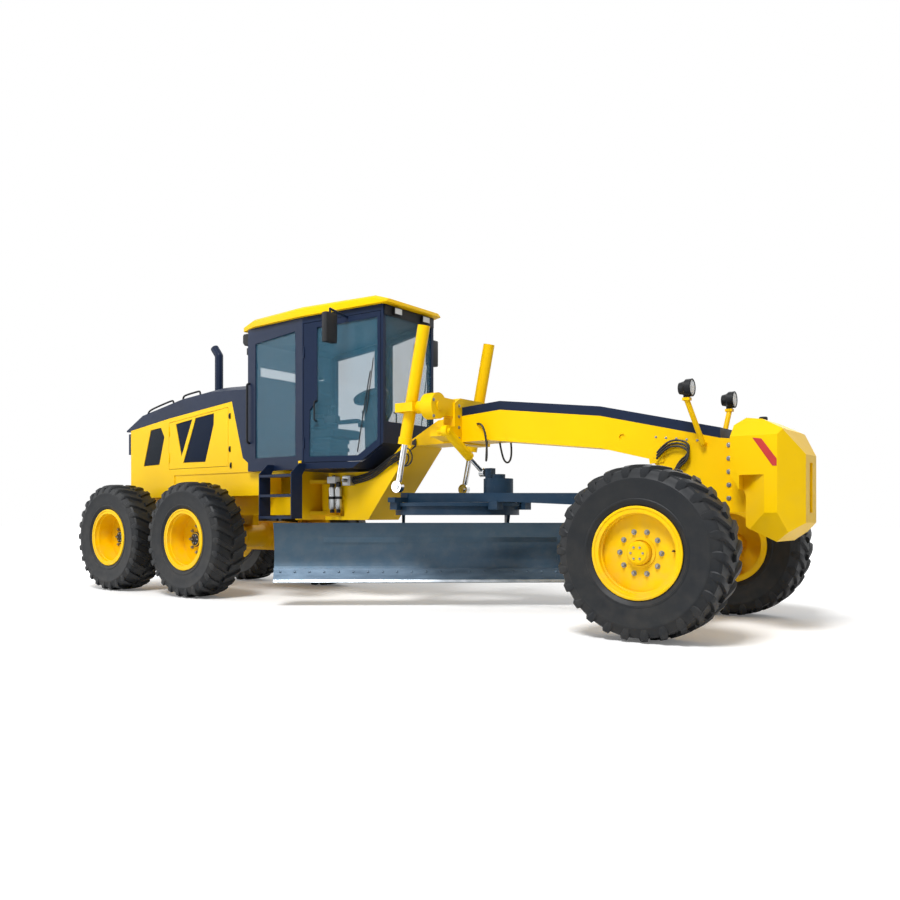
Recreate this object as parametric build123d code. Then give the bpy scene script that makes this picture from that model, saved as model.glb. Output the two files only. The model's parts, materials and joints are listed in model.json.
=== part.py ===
"""Motor grader at full size, in millimetres.

+X points forward, +Y to the machine's left and +Z up. Each node is written with its origin on the ground,
under the middle of the machine's box. Right-hand pieces are modelled and left-hand ones mirrored from them.
"""

import os
from math import cos, radians, sin, sqrt, tan

from build123d import *

# Layout of the axles
FRONT_AXLE_X = 3310.0
WHEELBASE = 6260.0
TANDEM_SPACING = 1538.0
TRACK_HALF = 1075.0
BOGIE_X = FRONT_AXLE_X - WHEELBASE
MID_AXLE_X = BOGIE_X + TANDEM_SPACING / 2
REAR_AXLE_X = BOGIE_X - TANDEM_SPACING / 2

# Tyres and rims
TYRE_RADIUS = 675.0
TYRE_HALF_WIDTH = 222.5
TREAD_HALF_WIDTH = 190.0
BEAD_RADIUS = 318.0
RIM_WALL = 14.0
RIM_HALF_WIDTH = 178.0
FLANGE_RADIUS = 356.0
HUB_RADIUS = 95.0
SPINDLE_RADIUS = 55.0
HUB_CAP_RADIUS = 90.0
REAR_DISC_OFFSET = -70.0
FRONT_DISC_OFFSET = 86.0
DISC_THICKNESS = 18.0
AXLE_Z = TYRE_RADIUS

# Clearances
PIN_FIT = 0.05
SEAT_GAP = 0.3
SLIDE_GAP = 0.5
MOVING_GAP = 6.0

# Articulation pivot, between the rear frame and the front frame
PIVOT_X = -990.0
PIVOT_PIN_RADIUS = 45.0
PIVOT_BOSS_RADIUS = 105.0
PIVOT_LOWER_Z = 960.0
PIVOT_UPPER_Z = 1375.0
PIVOT_PLATE = 45.0

# Rear frame
FRAME_BOTTOM_Z = 905.0
RAIL_INNER_Y = 330.0
RAIL_OUTER_Y = 430.0
RAIL_TOP_Z = 1185.0
RAIL_BOTTOM_Z = 960.0
REAR_FRAME_FRONT_X = -1140.0
REAR_FRAME_BACK_X = -4080.0
BULKHEAD = 45.0
SIDE_BOX_FRONT_X = -1530.0
SIDE_BOX_BACK_X = -3180.0
SIDE_BOX_HALF = 640.0
DECK_Z = 1470.0

# Rear axle and its tandem cases
AXLE_TUBE_RADIUS = 150.0
DIFF_RADIUS = 250.0
CASE_INNER_Y = 690.0
CASE_OUTER_Y = 830.0
CASE_HALF_HEIGHT = 200.0
CASE_END_RADIUS = 165.0

# Engine cover
HOOD_HALF = 650.0
HOOD_BACK_X = -4140.0
HOOD_FRONT_X = -1700.0
HOOD_WALL = 30.0
HOOD_SKIRT_Z = 1190.0
HOOD_DOOR_BACK_X = -3290.0
HOOD_DOOR_FRONT_X = -2120.0
HOOD_DOOR_BOTTOM_Z = 1555.0
HOOD_DOOR_TOP_DROP = 60.0
HOOD_DOOR_GAP = 6.0
HOOD_CROWN = 130.0

# Cab
CAB_BACK_X = -1690.0
CAB_POST_X = -790.0
CAB_FRONT_X = 160.0
CAB_HALF = 710.0
CAB_FRONT_HALF = 450.0
CAB_FLOOR_Z = DECK_Z
CAB_SILL_Z = 1545.0
CAB_WALL = 55.0
CAB_NOSE_X = -190.0
CAB_NOSE_Z = 1730.0
WINDSCREEN_Z = 1960.0
DOOR_THICKNESS = 45.0
HINGE_RADIUS = 11.0
HINGE_PIN_RADIUS = 5.0
HINGE_LENGTH = 60.0
DOOR_EDGE = 85.0
GLASS = 6.0

# Front frame, the gooseneck
NECK_HALF = 200.0
SHOE_HALF = 270.0
COVER_THICKNESS = 88.0
KNUCKLE_HALF = 130.0
BOLSTER_BACK_X = FRONT_AXLE_X - 180
BOLSTER_FRONT_X = FRONT_AXLE_X + 390
BOLSTER_BOTTOM_Z = 985.0
AXLE_PIVOT_Z = 870.0
AXLE_PIVOT_RADIUS = 45.0
AXLE_BOSS_RADIUS = 90.0
AXLE_HALF_X = 90.0

# Front axle
LEAN_Y = 620.0
LEAN_PIN_RADIUS = 40.0
LEAN_BOSS_RADIUS = 82.0
KINGPIN_Y = 850.0
KINGPIN_RADIUS = 35.0
KINGPIN_EAR_RADIUS = 58.0
KNUCKLE_HALF_HEIGHT = 105.0
EAR = 30.0
ARM_X = -235.0
ARM_Y = 0.0
ARM_Z = -91.0
ARM_HALF = 12.0
TIE_PIN_RADIUS = 12.0
TIE_ROD_RADIUS = 18.0
EYE_SLOT = 22.0
EYE_PLAY = 3.0

# Counterweight
WEIGHT_HALF = 400.0
WEIGHT_BOTTOM_Z = 750.0
WEIGHT_TOP_Z = 1750.0
WEIGHT_NOSE_X = FRONT_AXLE_X + 930

# Middle of the machine's box, between the rear tyres and the nose
MIDDLE_X = (WEIGHT_NOSE_X + REAR_AXLE_X - TYRE_RADIUS) / 2

# Blade gear
BALL = (FRONT_AXLE_X - 380, 0.0, 1080.0)
BALL_RADIUS = 72.0
BALL_PIN_RADIUS = 25.0
CIRCLE_X = 800.0
CIRCLE_RADIUS = 680.0
CIRCLE_INNER_RADIUS = 540.0
CIRCLE_TOP_Z = 1085.0
CIRCLE_BOTTOM_Z = 960.0
CIRCLE_LIP = 35.0
TOOTH_COUNT = 48
TOOTH_DEPTH = 26.0
TOOTH_TOP_Z = CIRCLE_BOTTOM_Z + 62
PINION_RADIUS = 58.0
DRAWBAR_BOTTOM_Z = 1090.0
BEAM_WIDTH = 110.0
CROSS_X = 475.0
CROSS_HALF_X = 45.0
CROSS_TOP_Z = 1190.0
STUD_Y = 600.0
STUD_Z = 1250.0
STUD_RADIUS = 28.0
GEARBOX_X = 1310.0
GEARBOX_RADIUS = 150.0
GEARBOX_TOP_Z = 1330.0

BLADE_CENTRE = (772.0, -120.0)
BLADE_ANGLE = 40.0
BLADE_HALF = 1829.0
BLADE_BOTTOM_Z = 250.0
BLADE_TOP_Z = 880.0
BLADE_SHELL = 22.0
EDGE_THICKNESS = 20.0
EDGE_TOP_Z = 400.0
TIP_Y = 235.0
TIP_Z = 345.0
TIP_PIN_RADIUS = 30.0
ARM_OFFSET = 560.0
ARM_PLATE = 30.0

# Lift cylinders
TRUNNION = (645.0, -600.0, 2040.0)
LIFT_BARREL_RADIUS = 62.0
LIFT_BORE_RADIUS = 46.0
LIFT_ROD_RADIUS = 30.0
LIFT_GLAND = 60.0
LIFT_BELOW = 370.0
LIFT_ABOVE = 830.0
LIFT_ROD_INSIDE = 530.0
EYE_RADIUS = 60.0
EYE_WIDTH = 60.0
YOKE_PIN_RADIUS = 42.0
TRUNNION_RADIUS = 28.0

# Side shift cylinder of the drawbar
SHIFT_TOP = (1060.0, -560.0, 1790.0)
SHIFT_EYE = (1125.0, 0.0, 1400.0)
SHIFT_BARREL_RADIUS = 48.0
SHIFT_ROD_RADIUS = 25.0
SADDLE_BACK_X = 860.0
SADDLE_FRONT_X = 1000.0


def box(x, y, z):
    """Box between three (low, high) pairs."""
    return Solid.make_box(x[1] - x[0], y[1] - y[0], z[1] - z[0], Plane((x[0], y[0], z[0])))


def slab_xz(outline, y):
    """Outline of (x, z) points, filled from y[0] to y[1]."""
    face = Face(Wire.make_polygon([(px, y[0], pz) for px, pz in outline]))
    return Solid.extrude(face, Vector(0, y[1] - y[0], 0))


def slab_xy(outline, z):
    """Outline of (x, y) points, filled from z[0] to z[1]."""
    face = Face(Wire.make_polygon([(px, py, z[0]) for px, py in outline]))
    return Solid.extrude(face, Vector(0, 0, z[1] - z[0]))


def slab_yz(outline, x):
    """Outline of (y, z) points, filled from x[0] to x[1]."""
    face = Face(Wire.make_polygon([(x[0], py, pz) for py, pz in outline]))
    return Solid.extrude(face, Vector(x[1] - x[0], 0, 0))


def rod(start, end, radius):
    """Round bar between two points."""
    along = Vector(*end) - Vector(*start)
    return Solid.make_cylinder(radius, along.length, Plane(Vector(*start), z_dir=along))


def turned(profile, centre, axis):
    """Solid turned about an axis through centre, from (radius, distance along the axis) points."""
    along = Vector(*axis).normalized()
    side = Vector(1, 0, 0) if abs(along.X) < 0.5 else Vector(0, 0, 1)
    side = (side - along * side.dot(along)).normalized()
    middle = Vector(*centre)
    points = [middle + side * radius + along * place for radius, place in profile]
    return Solid.revolve(Face(Wire.make_polygon(points)), 360, Axis(middle, along))


def along(start, end, distance):
    """Point on the line from start to end, at a distance from start."""
    direction = (Vector(*end) - Vector(*start)).normalized()
    point = Vector(*start) + direction * distance
    return (point.X, point.Y, point.Z)


def mirrored(shape):
    """The same piece on the machine's left."""
    return shape.mirror(Plane.XZ)


def fused(*shapes):
    """One solid from several that meet."""
    result = shapes[0]
    for shape in shapes[1:]:
        result = result + shape
    return result


def height_on(line, x):
    """Height at x of a line of (x, z) points whose x grows."""
    for (x0, z0), (x1, z1) in zip(line, line[1:]):
        if x <= x1:
            return z0 + (z1 - z0) * (x - x0) / (x1 - x0)
    return line[-1][1]


def save(shape, name):
    """Write one node, with the origin under the middle of the machine's box."""
    export_step(shape.moved(Location((-MIDDLE_X, 0, 0))), f"parts/{name}.step")


def hinge_levels(x, y, low, height, radius):
    """Upright cylinder of a hinge."""
    return rod((x, y, low), (x, y, low + height), radius)


def with_door_hinges(door, x, y, levels):
    """Door with its upper hinge barrels, cut clear of the fixed lower ones."""
    for low in levels:
        upper = low + HINGE_LENGTH + SEAT_GAP
        door = door - hinge_levels(x, y, low - 5, HINGE_LENGTH + 5 + SEAT_GAP, HINGE_RADIUS + 5)
        door = door + hinge_levels(x, y, upper, HINGE_LENGTH, HINGE_RADIUS)
        door = door - hinge_levels(x, y, low, 2 * HINGE_LENGTH + 5, HINGE_PIN_RADIUS + PIN_FIT)
    return door


def with_frame_hinges(frame, x, y, levels):
    """Frame with its fixed lower hinge barrels and pins, cut clear of the door's barrels."""
    for low in levels:
        frame = frame - hinge_levels(x, y, low + HINGE_LENGTH, HINGE_LENGTH + 6, HINGE_RADIUS + 5)
        frame = frame + hinge_levels(x, y, low, HINGE_LENGTH, HINGE_RADIUS)
        frame = frame + hinge_levels(x, y, low, 2 * HINGE_LENGTH, HINGE_PIN_RADIUS)
    return frame


os.makedirs("parts", exist_ok=True)


# Wheels
LUG_COUNT = 26
LUG_DEPTH = 25.0
# distance from the middle of the tread, top radius, root radius, lag and half width in degrees
LUG_ROWS = [
    (8.0, TYRE_RADIUS, TYRE_RADIUS - 45, 0.0, 2.3),
    (207.0, TYRE_RADIUS - 18, TYRE_RADIUS - 95, 8.8, 2.5),
]


def make_lug(start, side):
    """One tread lug, from the middle of the tread out to the shoulder on one side."""
    sections = []
    for place, top, root, lag, half_width in LUG_ROWS:
        corners = []
        for edge, radius in ((-1, root), (-1, top), (1, top), (1, root)):
            turn = radians(start + lag + edge * half_width)
            corners.append((radius * cos(turn), side * place, radius * sin(turn)))
        sections.append(Wire.make_polygon([Vector(*corner) for corner in corners], close=True))
    return Solid.make_loft(sections, ruled=True)


def make_tyre():
    """Tyre around the y axis: a round casing with chevron lugs fused to it."""
    bead = RIM_HALF_WIDTH - SEAT_GAP
    half = [
        (BEAD_RADIUS + SEAT_GAP, bead),
        (FLANGE_RADIUS + 2, bead),
        (FLANGE_RADIUS + 10, bead + 24),
        (FLANGE_RADIUS + 60, TYRE_HALF_WIDTH - 6),
        (TYRE_RADIUS - 190, TYRE_HALF_WIDTH),
        (TYRE_RADIUS - 75, TYRE_HALF_WIDTH - 6),
        (TYRE_RADIUS - 43, TREAD_HALF_WIDTH + 10),
        (TYRE_RADIUS - LUG_DEPTH, TREAD_HALF_WIDTH - 30),
    ]
    profile = half + [(radius, -place) for radius, place in reversed(half)]
    casing = turned(profile, (0, 0, 0), (0, 1, 0))
    first = -90 - LUG_ROWS[0][4]
    lugs = []
    for index in range(LUG_COUNT):
        lugs.append(make_lug(first + 360 * index / LUG_COUNT, -1))
        lugs.append(make_lug(first + 360 * (index + 0.5) / LUG_COUNT, 1))
    return casing.fuse(*lugs)


def make_rim(x, side, disc):
    """Rim with its disc and hub; disc is how far outboard the disc's inner face lies."""
    inner = BEAD_RADIUS - RIM_WALL
    edge = RIM_HALF_WIDTH + RIM_WALL
    hub_back = min(disc, 0) - 90
    face = disc + DISC_THICKNESS
    profile = [
        (BEAD_RADIUS, -RIM_HALF_WIDTH),
        (FLANGE_RADIUS, -RIM_HALF_WIDTH),
        (FLANGE_RADIUS, -edge),
        (inner, -edge),
        (inner, disc),
        (HUB_RADIUS, disc),
        (HUB_RADIUS, hub_back),
        (SPINDLE_RADIUS + PIN_FIT, hub_back),
        (SPINDLE_RADIUS + PIN_FIT, face + 12),
        (0, face + 12),
        (0, face + 72),
        (HUB_CAP_RADIUS - 18, face + 72),
        (HUB_CAP_RADIUS, face + 54),
        (HUB_CAP_RADIUS, face),
        (inner, face),
        (inner, edge),
        (FLANGE_RADIUS, edge),
        (FLANGE_RADIUS, RIM_HALF_WIDTH),
        (BEAD_RADIUS, RIM_HALF_WIDTH),
    ]
    return turned(profile, (x, side * TRACK_HALF, AXLE_Z), (0, side, 0))


# name, axle, disc offset
AXLES = [
    ("front", FRONT_AXLE_X, FRONT_DISC_OFFSET),
    ("mid", MID_AXLE_X, REAR_DISC_OFFSET),
    ("rear", REAR_AXLE_X, REAR_DISC_OFFSET),
]
tyre = make_tyre()
for axle, axle_x, disc_offset in AXLES:
    right_tyre = tyre.moved(Location((axle_x, -TRACK_HALF, AXLE_Z)))
    save(right_tyre, f"tyre_{axle}_right")
    save(mirrored(right_tyre), f"tyre_{axle}_left")
    for side_name, side_sign in (("right", -1), ("left", 1)):
        save(make_rim(axle_x, side_sign, disc_offset), f"rim_{axle}_{side_name}")


# Rear frame: two rails, a bulkhead with the two hitch plates and their pin, and the side boxes
rail = box((REAR_FRAME_BACK_X, REAR_FRAME_FRONT_X), (-RAIL_OUTER_Y, -RAIL_INNER_Y), (RAIL_BOTTOM_Z, RAIL_TOP_Z))
bulkhead = box(
    (REAR_FRAME_FRONT_X - BULKHEAD, REAR_FRAME_FRONT_X), (-RAIL_OUTER_Y, RAIL_OUTER_Y), (FRAME_BOTTOM_Z, DECK_Z)
)
rear_frame = fused(rail, mirrored(rail), bulkhead)
CROSS_MEMBERS_X = (-1560.0, -2500.0, -3400.0, REAR_FRAME_BACK_X)
for member_x in CROSS_MEMBERS_X:
    member = box((member_x, member_x + 80), (-RAIL_INNER_Y, RAIL_INNER_Y), (RAIL_BOTTOM_Z, RAIL_TOP_Z))
    rear_frame = rear_frame + member
for plate_z in (PIVOT_LOWER_Z, PIVOT_UPPER_Z - PIVOT_PLATE):
    outline = [
        (REAR_FRAME_FRONT_X, -240),
        (PIVOT_X, -PIVOT_BOSS_RADIUS),
        (PIVOT_X, PIVOT_BOSS_RADIUS),
        (REAR_FRAME_FRONT_X, 240),
    ]
    plate = slab_xy(outline, (plate_z, plate_z + PIVOT_PLATE))
    boss = rod((PIVOT_X, 0, plate_z), (PIVOT_X, 0, plate_z + PIVOT_PLATE), PIVOT_BOSS_RADIUS)
    rear_frame = fused(rear_frame, plate, boss)
rear_frame = rear_frame + rod((PIVOT_X, 0, PIVOT_LOWER_Z), (PIVOT_X, 0, PIVOT_UPPER_Z), PIVOT_PIN_RADIUS)
side_box_outline = [
    (SIDE_BOX_BACK_X, HOOD_SKIRT_Z),
    (SIDE_BOX_FRONT_X, HOOD_SKIRT_Z),
    (SIDE_BOX_FRONT_X, DECK_Z),
    (SIDE_BOX_BACK_X, DECK_Z),
]
side_box = slab_xz(side_box_outline, (-SIDE_BOX_HALF, -RAIL_INNER_Y)) - box(
    (SIDE_BOX_BACK_X - 10, SIDE_BOX_FRONT_X + 10), (-HOOD_HALF, -RAIL_INNER_Y), (0, RAIL_TOP_Z)
)
floor_plate = box((SIDE_BOX_FRONT_X - 60, REAR_FRAME_FRONT_X), (-SIDE_BOX_HALF, SIDE_BOX_HALF), (DECK_Z - 40, DECK_Z))
seat_pad = box((BOGIE_X - 170, BOGIE_X + 170), (-RAIL_OUTER_Y, -RAIL_INNER_Y), (AXLE_Z + AXLE_TUBE_RADIUS, RAIL_BOTTOM_Z))
box_foot = box((SIDE_BOX_BACK_X, SIDE_BOX_FRONT_X), (-RAIL_OUTER_Y, -RAIL_INNER_Y), (RAIL_TOP_Z, DECK_Z))
rear_frame = fused(rear_frame, box_foot, mirrored(box_foot), side_box, mirrored(side_box), floor_plate)
rear_frame = fused(rear_frame, seat_pad, mirrored(seat_pad))
MOUNT_HOLE_RADIUS = 13.0
MOUNT_HALF_Y = 250.0
MOUNT_HALF_Z = 70.0
MOUNT_Z = (RAIL_BOTTOM_Z + RAIL_TOP_Z) / 2
for hole_y in (-MOUNT_HALF_Y, MOUNT_HALF_Y):
    for hole_z in (MOUNT_Z - MOUNT_HALF_Z, MOUNT_Z + MOUNT_HALF_Z):
        hole = rod((REAR_FRAME_BACK_X - 5, hole_y, hole_z), (REAR_FRAME_BACK_X + 85, hole_y, hole_z), MOUNT_HOLE_RADIUS)
        rear_frame = rear_frame - hole
save(rear_frame, "rear_frame")


# Rear axle housing with the two tandem cases and the four spindles
def case_outline():
    """Side outline of a tandem case, deepest at its middle."""
    return [
        (REAR_AXLE_X, AXLE_Z - CASE_END_RADIUS),
        (BOGIE_X - 250, AXLE_Z - CASE_HALF_HEIGHT),
        (BOGIE_X + 250, AXLE_Z - CASE_HALF_HEIGHT),
        (MID_AXLE_X, AXLE_Z - CASE_END_RADIUS),
        (MID_AXLE_X, AXLE_Z + CASE_END_RADIUS),
        (BOGIE_X + 250, AXLE_Z + CASE_HALF_HEIGHT),
        (BOGIE_X - 250, AXLE_Z + CASE_HALF_HEIGHT),
        (REAR_AXLE_X, AXLE_Z + CASE_END_RADIUS),
    ]


case = slab_xz(case_outline(), (-CASE_OUTER_Y, -CASE_INNER_Y))
for end_x in (MID_AXLE_X, REAR_AXLE_X):
    case = case + rod((end_x, -CASE_OUTER_Y, AXLE_Z), (end_x, -CASE_INNER_Y, AXLE_Z), CASE_END_RADIUS)
    spindle_end = TRACK_HALF + REAR_DISC_OFFSET + DISC_THICKNESS
    case = case + rod((end_x, -CASE_OUTER_Y, AXLE_Z), (end_x, -spindle_end, AXLE_Z), SPINDLE_RADIUS)
housing_profile = [
    (0, -CASE_INNER_Y),
    (AXLE_TUBE_RADIUS + 30, -CASE_INNER_Y),
    (AXLE_TUBE_RADIUS, -CASE_INNER_Y + 60),
    (AXLE_TUBE_RADIUS, -260),
    (DIFF_RADIUS, -140),
    (DIFF_RADIUS, 140),
    (AXLE_TUBE_RADIUS, 260),
    (AXLE_TUBE_RADIUS, CASE_INNER_Y - 60),
    (AXLE_TUBE_RADIUS + 30, CASE_INNER_Y),
    (0, CASE_INNER_Y),
]
housing = turned(housing_profile, (BOGIE_X, 0, AXLE_Z), (0, 1, 0))
tandem_axle = fused(housing, case, mirrored(case)) - seat_pad - mirrored(seat_pad)
save(tandem_axle, "tandem_axle")


# Engine, as one plain block on the rails
ENGINE_X = (-3880.0, -2350.0)
ENGINE_TOP_Z = 2050.0
engine_block = box(ENGINE_X, (-RAIL_INNER_Y + 10, RAIL_INNER_Y - 10), (RAIL_TOP_Z, ENGINE_TOP_Z))
save(engine_block, "engine_block")


# Engine cover: yellow sides below this line and the dark top cover above it
HOOD_SIDE_LINE = [(HOOD_BACK_X - 100, 2090.0), (-3290.0, 2210.0), (-2050.0, 2330.0), (HOOD_FRONT_X, 2330.0)]
HOOD_TOP_LINE = [(HOOD_BACK_X - 100, 2100.0), (-3870.0, 2290.0), (-3060.0, 2430.0), (-2460.0, 2480.0), (HOOD_FRONT_X, 2450.0)]

side_top = [(x, z) for x, z in HOOD_SIDE_LINE if HOOD_BACK_X < x <= HOOD_FRONT_X]
shell_outline = (
    [(HOOD_BACK_X, HOOD_SKIRT_Z), (SIDE_BOX_BACK_X, HOOD_SKIRT_Z), (SIDE_BOX_BACK_X, DECK_Z), (HOOD_FRONT_X, DECK_Z)]
    + side_top[::-1]
    + [(HOOD_BACK_X, height_on(HOOD_SIDE_LINE, HOOD_BACK_X))]
)
hood_side = slab_xz(shell_outline, (-HOOD_HALF, -HOOD_HALF + HOOD_WALL))


def door_outline(grow):
    """Outline of the engine door in (x, z), grown on every side."""
    back = HOOD_DOOR_BACK_X - grow
    front = HOOD_DOOR_FRONT_X + grow
    top_back = height_on(HOOD_SIDE_LINE, back) - HOOD_DOOR_TOP_DROP + grow
    top_front = height_on(HOOD_SIDE_LINE, front) - HOOD_DOOR_TOP_DROP + grow
    return [(back, HOOD_DOOR_BOTTOM_Z - grow), (front, HOOD_DOOR_BOTTOM_Z - grow), (front, top_front), (back, top_back)]


hood_side = hood_side - slab_xz(door_outline(HOOD_DOOR_GAP), (-HOOD_HALF - 10, -HOOD_HALF + HOOD_WALL + 10))
# Dark panel between the yellow side and the cab, and the recess of the fixed mesh window
DARK_PANEL = [(-2050.0, 2330.0), (-1850.0, 1640.0), (HOOD_FRONT_X, 1540.0), (HOOD_FRONT_X, 2330.0)]
REAR_MESH = [(-3850.0, 1610.0), (-3500.0, 1620.0), (-3390.0, 1976.0), (-3464.0, 2105.0), (-3690.0, 2085.0)]
MESH_RECESS = 16.0
outer_face = (-HOOD_HALF - 10, -HOOD_HALF + MESH_RECESS)
hood_side = hood_side - slab_xz(DARK_PANEL, (-HOOD_HALF - 10, -HOOD_HALF + HOOD_WALL + 10))
hood_side = hood_side - slab_xz(REAR_MESH, outer_face)
hood_inside = HOOD_HALF - HOOD_WALL
hood_front = box(
    (HOOD_FRONT_X - HOOD_WALL, HOOD_FRONT_X), (-hood_inside, hood_inside), (DECK_Z, height_on(HOOD_SIDE_LINE, HOOD_FRONT_X))
)
hood_back = box(
    (HOOD_BACK_X, HOOD_BACK_X + HOOD_WALL), (-HOOD_HALF, HOOD_HALF), (HOOD_SKIRT_Z, height_on(HOOD_SIDE_LINE, HOOD_BACK_X))
)
GRILLE_HALF = 470.0
GRILLE_BOTTOM_Z = 1400.0
GRILLE_TOP_Z = 2040.0
hood_back = hood_back - box(
    (HOOD_BACK_X - 10, HOOD_BACK_X + HOOD_WALL + 10), (-GRILLE_HALF, GRILLE_HALF), (GRILLE_BOTTOM_Z, GRILLE_TOP_Z)
)
skirt_floor = box((HOOD_BACK_X, SIDE_BOX_BACK_X), (-HOOD_HALF, -RAIL_OUTER_Y), (HOOD_SKIRT_Z, HOOD_SKIRT_Z + 25))
HOOD_HINGES = (1640.0, 1980.0)
hood_side = with_frame_hinges(hood_side, HOOD_DOOR_BACK_X, -HOOD_HALF, HOOD_HINGES)
hood_shell = fused(hood_side, mirrored(hood_side), hood_front, hood_back, skirt_floor, mirrored(skirt_floor))
save(hood_shell, "hood_shell")

# Rear grille: a frame of slats in the back opening
grille = box((HOOD_BACK_X - 25, HOOD_BACK_X + 12), (-GRILLE_HALF, GRILLE_HALF), (GRILLE_BOTTOM_Z, GRILLE_TOP_Z))
SLAT_COUNT = 8
slat_pitch = (GRILLE_TOP_Z - GRILLE_BOTTOM_Z - 80) / SLAT_COUNT
for index in range(SLAT_COUNT):
    slot_z = GRILLE_BOTTOM_Z + 40 + index * slat_pitch
    grille = grille - box(
        (HOOD_BACK_X - 40, HOOD_BACK_X + 30), (-GRILLE_HALF + 40, GRILLE_HALF - 40), (slot_z + 25, slot_z + slat_pitch)
    )
# Upright lamp housings on the two rear corners
rear_lamp = box((HOOD_BACK_X - 50, HOOD_BACK_X), (-HOOD_HALF, -HOOD_HALF + 90), (1780, 2060))
save(Compound([grille, rear_lamp, mirrored(rear_lamp)]), "rear_grille")


# Dark top cover: a crowned shell through a few sections
def cover_section(x, bottom, side_z, half, crown):
    """Closed section of the top cover in the plane of one x."""
    left = Edge.make_line((x, half, bottom), (x, half, side_z))
    arch = Edge.make_three_point_arc((x, half, side_z), (x, 0, side_z + crown), (x, -half, side_z))
    right = Edge.make_line((x, -half, side_z), (x, -half, bottom))
    base = Edge.make_line((x, -half, bottom), (x, half, bottom))
    return Wire([left, arch, right, base])


# x, height of the side's top edge, crown
COVER_SECTIONS = [
    (HOOD_BACK_X - 100, 2110.0, 50.0),
    (-3870.0, 2290.0, 110.0),
    (-3060.0, 2430.0, HOOD_CROWN),
    (-2460.0, 2480.0, HOOD_CROWN),
    (HOOD_FRONT_X, 2450.0, HOOD_CROWN),
]


def cover_body(inset, drop):
    """Closed form of the top cover, inset from its sides and dropped from its top."""
    wires = []
    for x, side_z, crown in COVER_SECTIONS:
        wires.append(cover_section(x, 2000.0, side_z - drop, HOOD_HALF - inset, crown))
    return Solid.make_loft(wires, ruled=True)


below_outline = [(HOOD_BACK_X - 110, 1900.0), (HOOD_FRONT_X + 10, 1900.0)]
below_outline += [(HOOD_FRONT_X + 10, height_on(HOOD_SIDE_LINE, HOOD_FRONT_X))]
below_outline += [(x, z) for x, z in HOOD_SIDE_LINE[-2:0:-1]]
below_outline += [(HOOD_BACK_X - 110, height_on(HOOD_SIDE_LINE, HOOD_BACK_X - 100))]
below_sides = slab_xz(below_outline, (-HOOD_HALF - 10, HOOD_HALF + 10))
hollow_ends = (HOOD_BACK_X + HOOD_WALL, HOOD_FRONT_X - HOOD_WALL)
hollow = cover_body(HOOD_WALL, HOOD_WALL) & box(hollow_ends, (-HOOD_HALF, HOOD_HALF), (1900, 2700))
hood_top = cover_body(0, 0) - below_sides - hollow
dark_panel = slab_xz(DARK_PANEL, (-HOOD_HALF, -HOOD_HALF + HOOD_WALL))
hood_top = fused(hood_top, dark_panel, mirrored(dark_panel))
save(hood_top, "hood_top")

# Exhaust stack with its tip turned back
STACK_X = -3010.0
STACK_Y = -60.0
STACK_BASE_Z = height_on(HOOD_TOP_LINE, STACK_X) + HOOD_CROWN - 30
STACK_RADIUS = 55.0
STACK_TOP_Z = 3080.0
stack = rod((STACK_X, STACK_Y, STACK_BASE_Z), (STACK_X, STACK_Y, STACK_TOP_Z), STACK_RADIUS)
stack_base = rod((STACK_X, STACK_Y, STACK_BASE_Z), (STACK_X, STACK_Y, STACK_BASE_Z + 70), STACK_RADIUS + 35)
tip = rod((STACK_X, STACK_Y, STACK_TOP_Z), (STACK_X - 90, STACK_Y, STACK_TOP_Z + 110), STACK_RADIUS)
joint_ball = Solid.make_sphere(STACK_RADIUS, Plane((STACK_X, STACK_Y, STACK_TOP_Z)), -90, 90, 360)
exhaust = fused(stack, stack_base, joint_ball, tip)
exhaust = exhaust - rod((STACK_X, STACK_Y, STACK_TOP_Z), (STACK_X - 180, STACK_Y, STACK_TOP_Z + 220), STACK_RADIUS - 7)
exhaust = exhaust - cover_body(0, 0)
save(exhaust, "exhaust_stack")


# Engine doors, hinged at their rear edge
DOOR_MESHES = [
    [(-3150.0, 2130.0), (-2810.0, 2170.0), (-3031.0, 1704.0)],
    [(-2745.0, 2180.0), (-2385.0, 2215.0), (-2390.0, 2074.0), (-2553.0, 1620.0), (-2995.0, 1625.0)],
]


def make_hood_door():
    """Right engine door with the recesses of its two slanted mesh windows."""
    door = slab_xz(door_outline(0), (-HOOD_HALF, -HOOD_HALF + HOOD_WALL))
    for window in DOOR_MESHES:
        door = door - slab_xz(window, outer_face)
    return door


hood_door = with_door_hinges(make_hood_door(), HOOD_DOOR_BACK_X, -HOOD_HALF, HOOD_HINGES)
save(hood_door, "hood_door_right")
save(mirrored(hood_door), "hood_door_left")


# Cab: plan is square at the back and a wedge at the front
CAB_ROOF_LINE = [(-1800.0, 2985.0), (-1500.0, 3075.0), (CAB_POST_X, 3150.0), (240.0, 3213.0)]


def cab_plan(inset):
    """Plan outline of the cab, inset from its outside."""
    slope = (CAB_HALF - CAB_FRONT_HALF) / (CAB_FRONT_X - CAB_POST_X)
    side = inset * sqrt(1 + slope * slope)
    front = CAB_FRONT_HALF - side + inset * slope
    back = CAB_BACK_X + inset
    corner = CAB_HALF - inset
    post_x = CAB_POST_X + (corner - (CAB_HALF - side)) / -slope if slope else CAB_POST_X
    half = [(back, corner), (post_x, corner), (CAB_FRONT_X - inset, front)]
    return half + [(x, -y) for x, y in reversed(half)]


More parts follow.
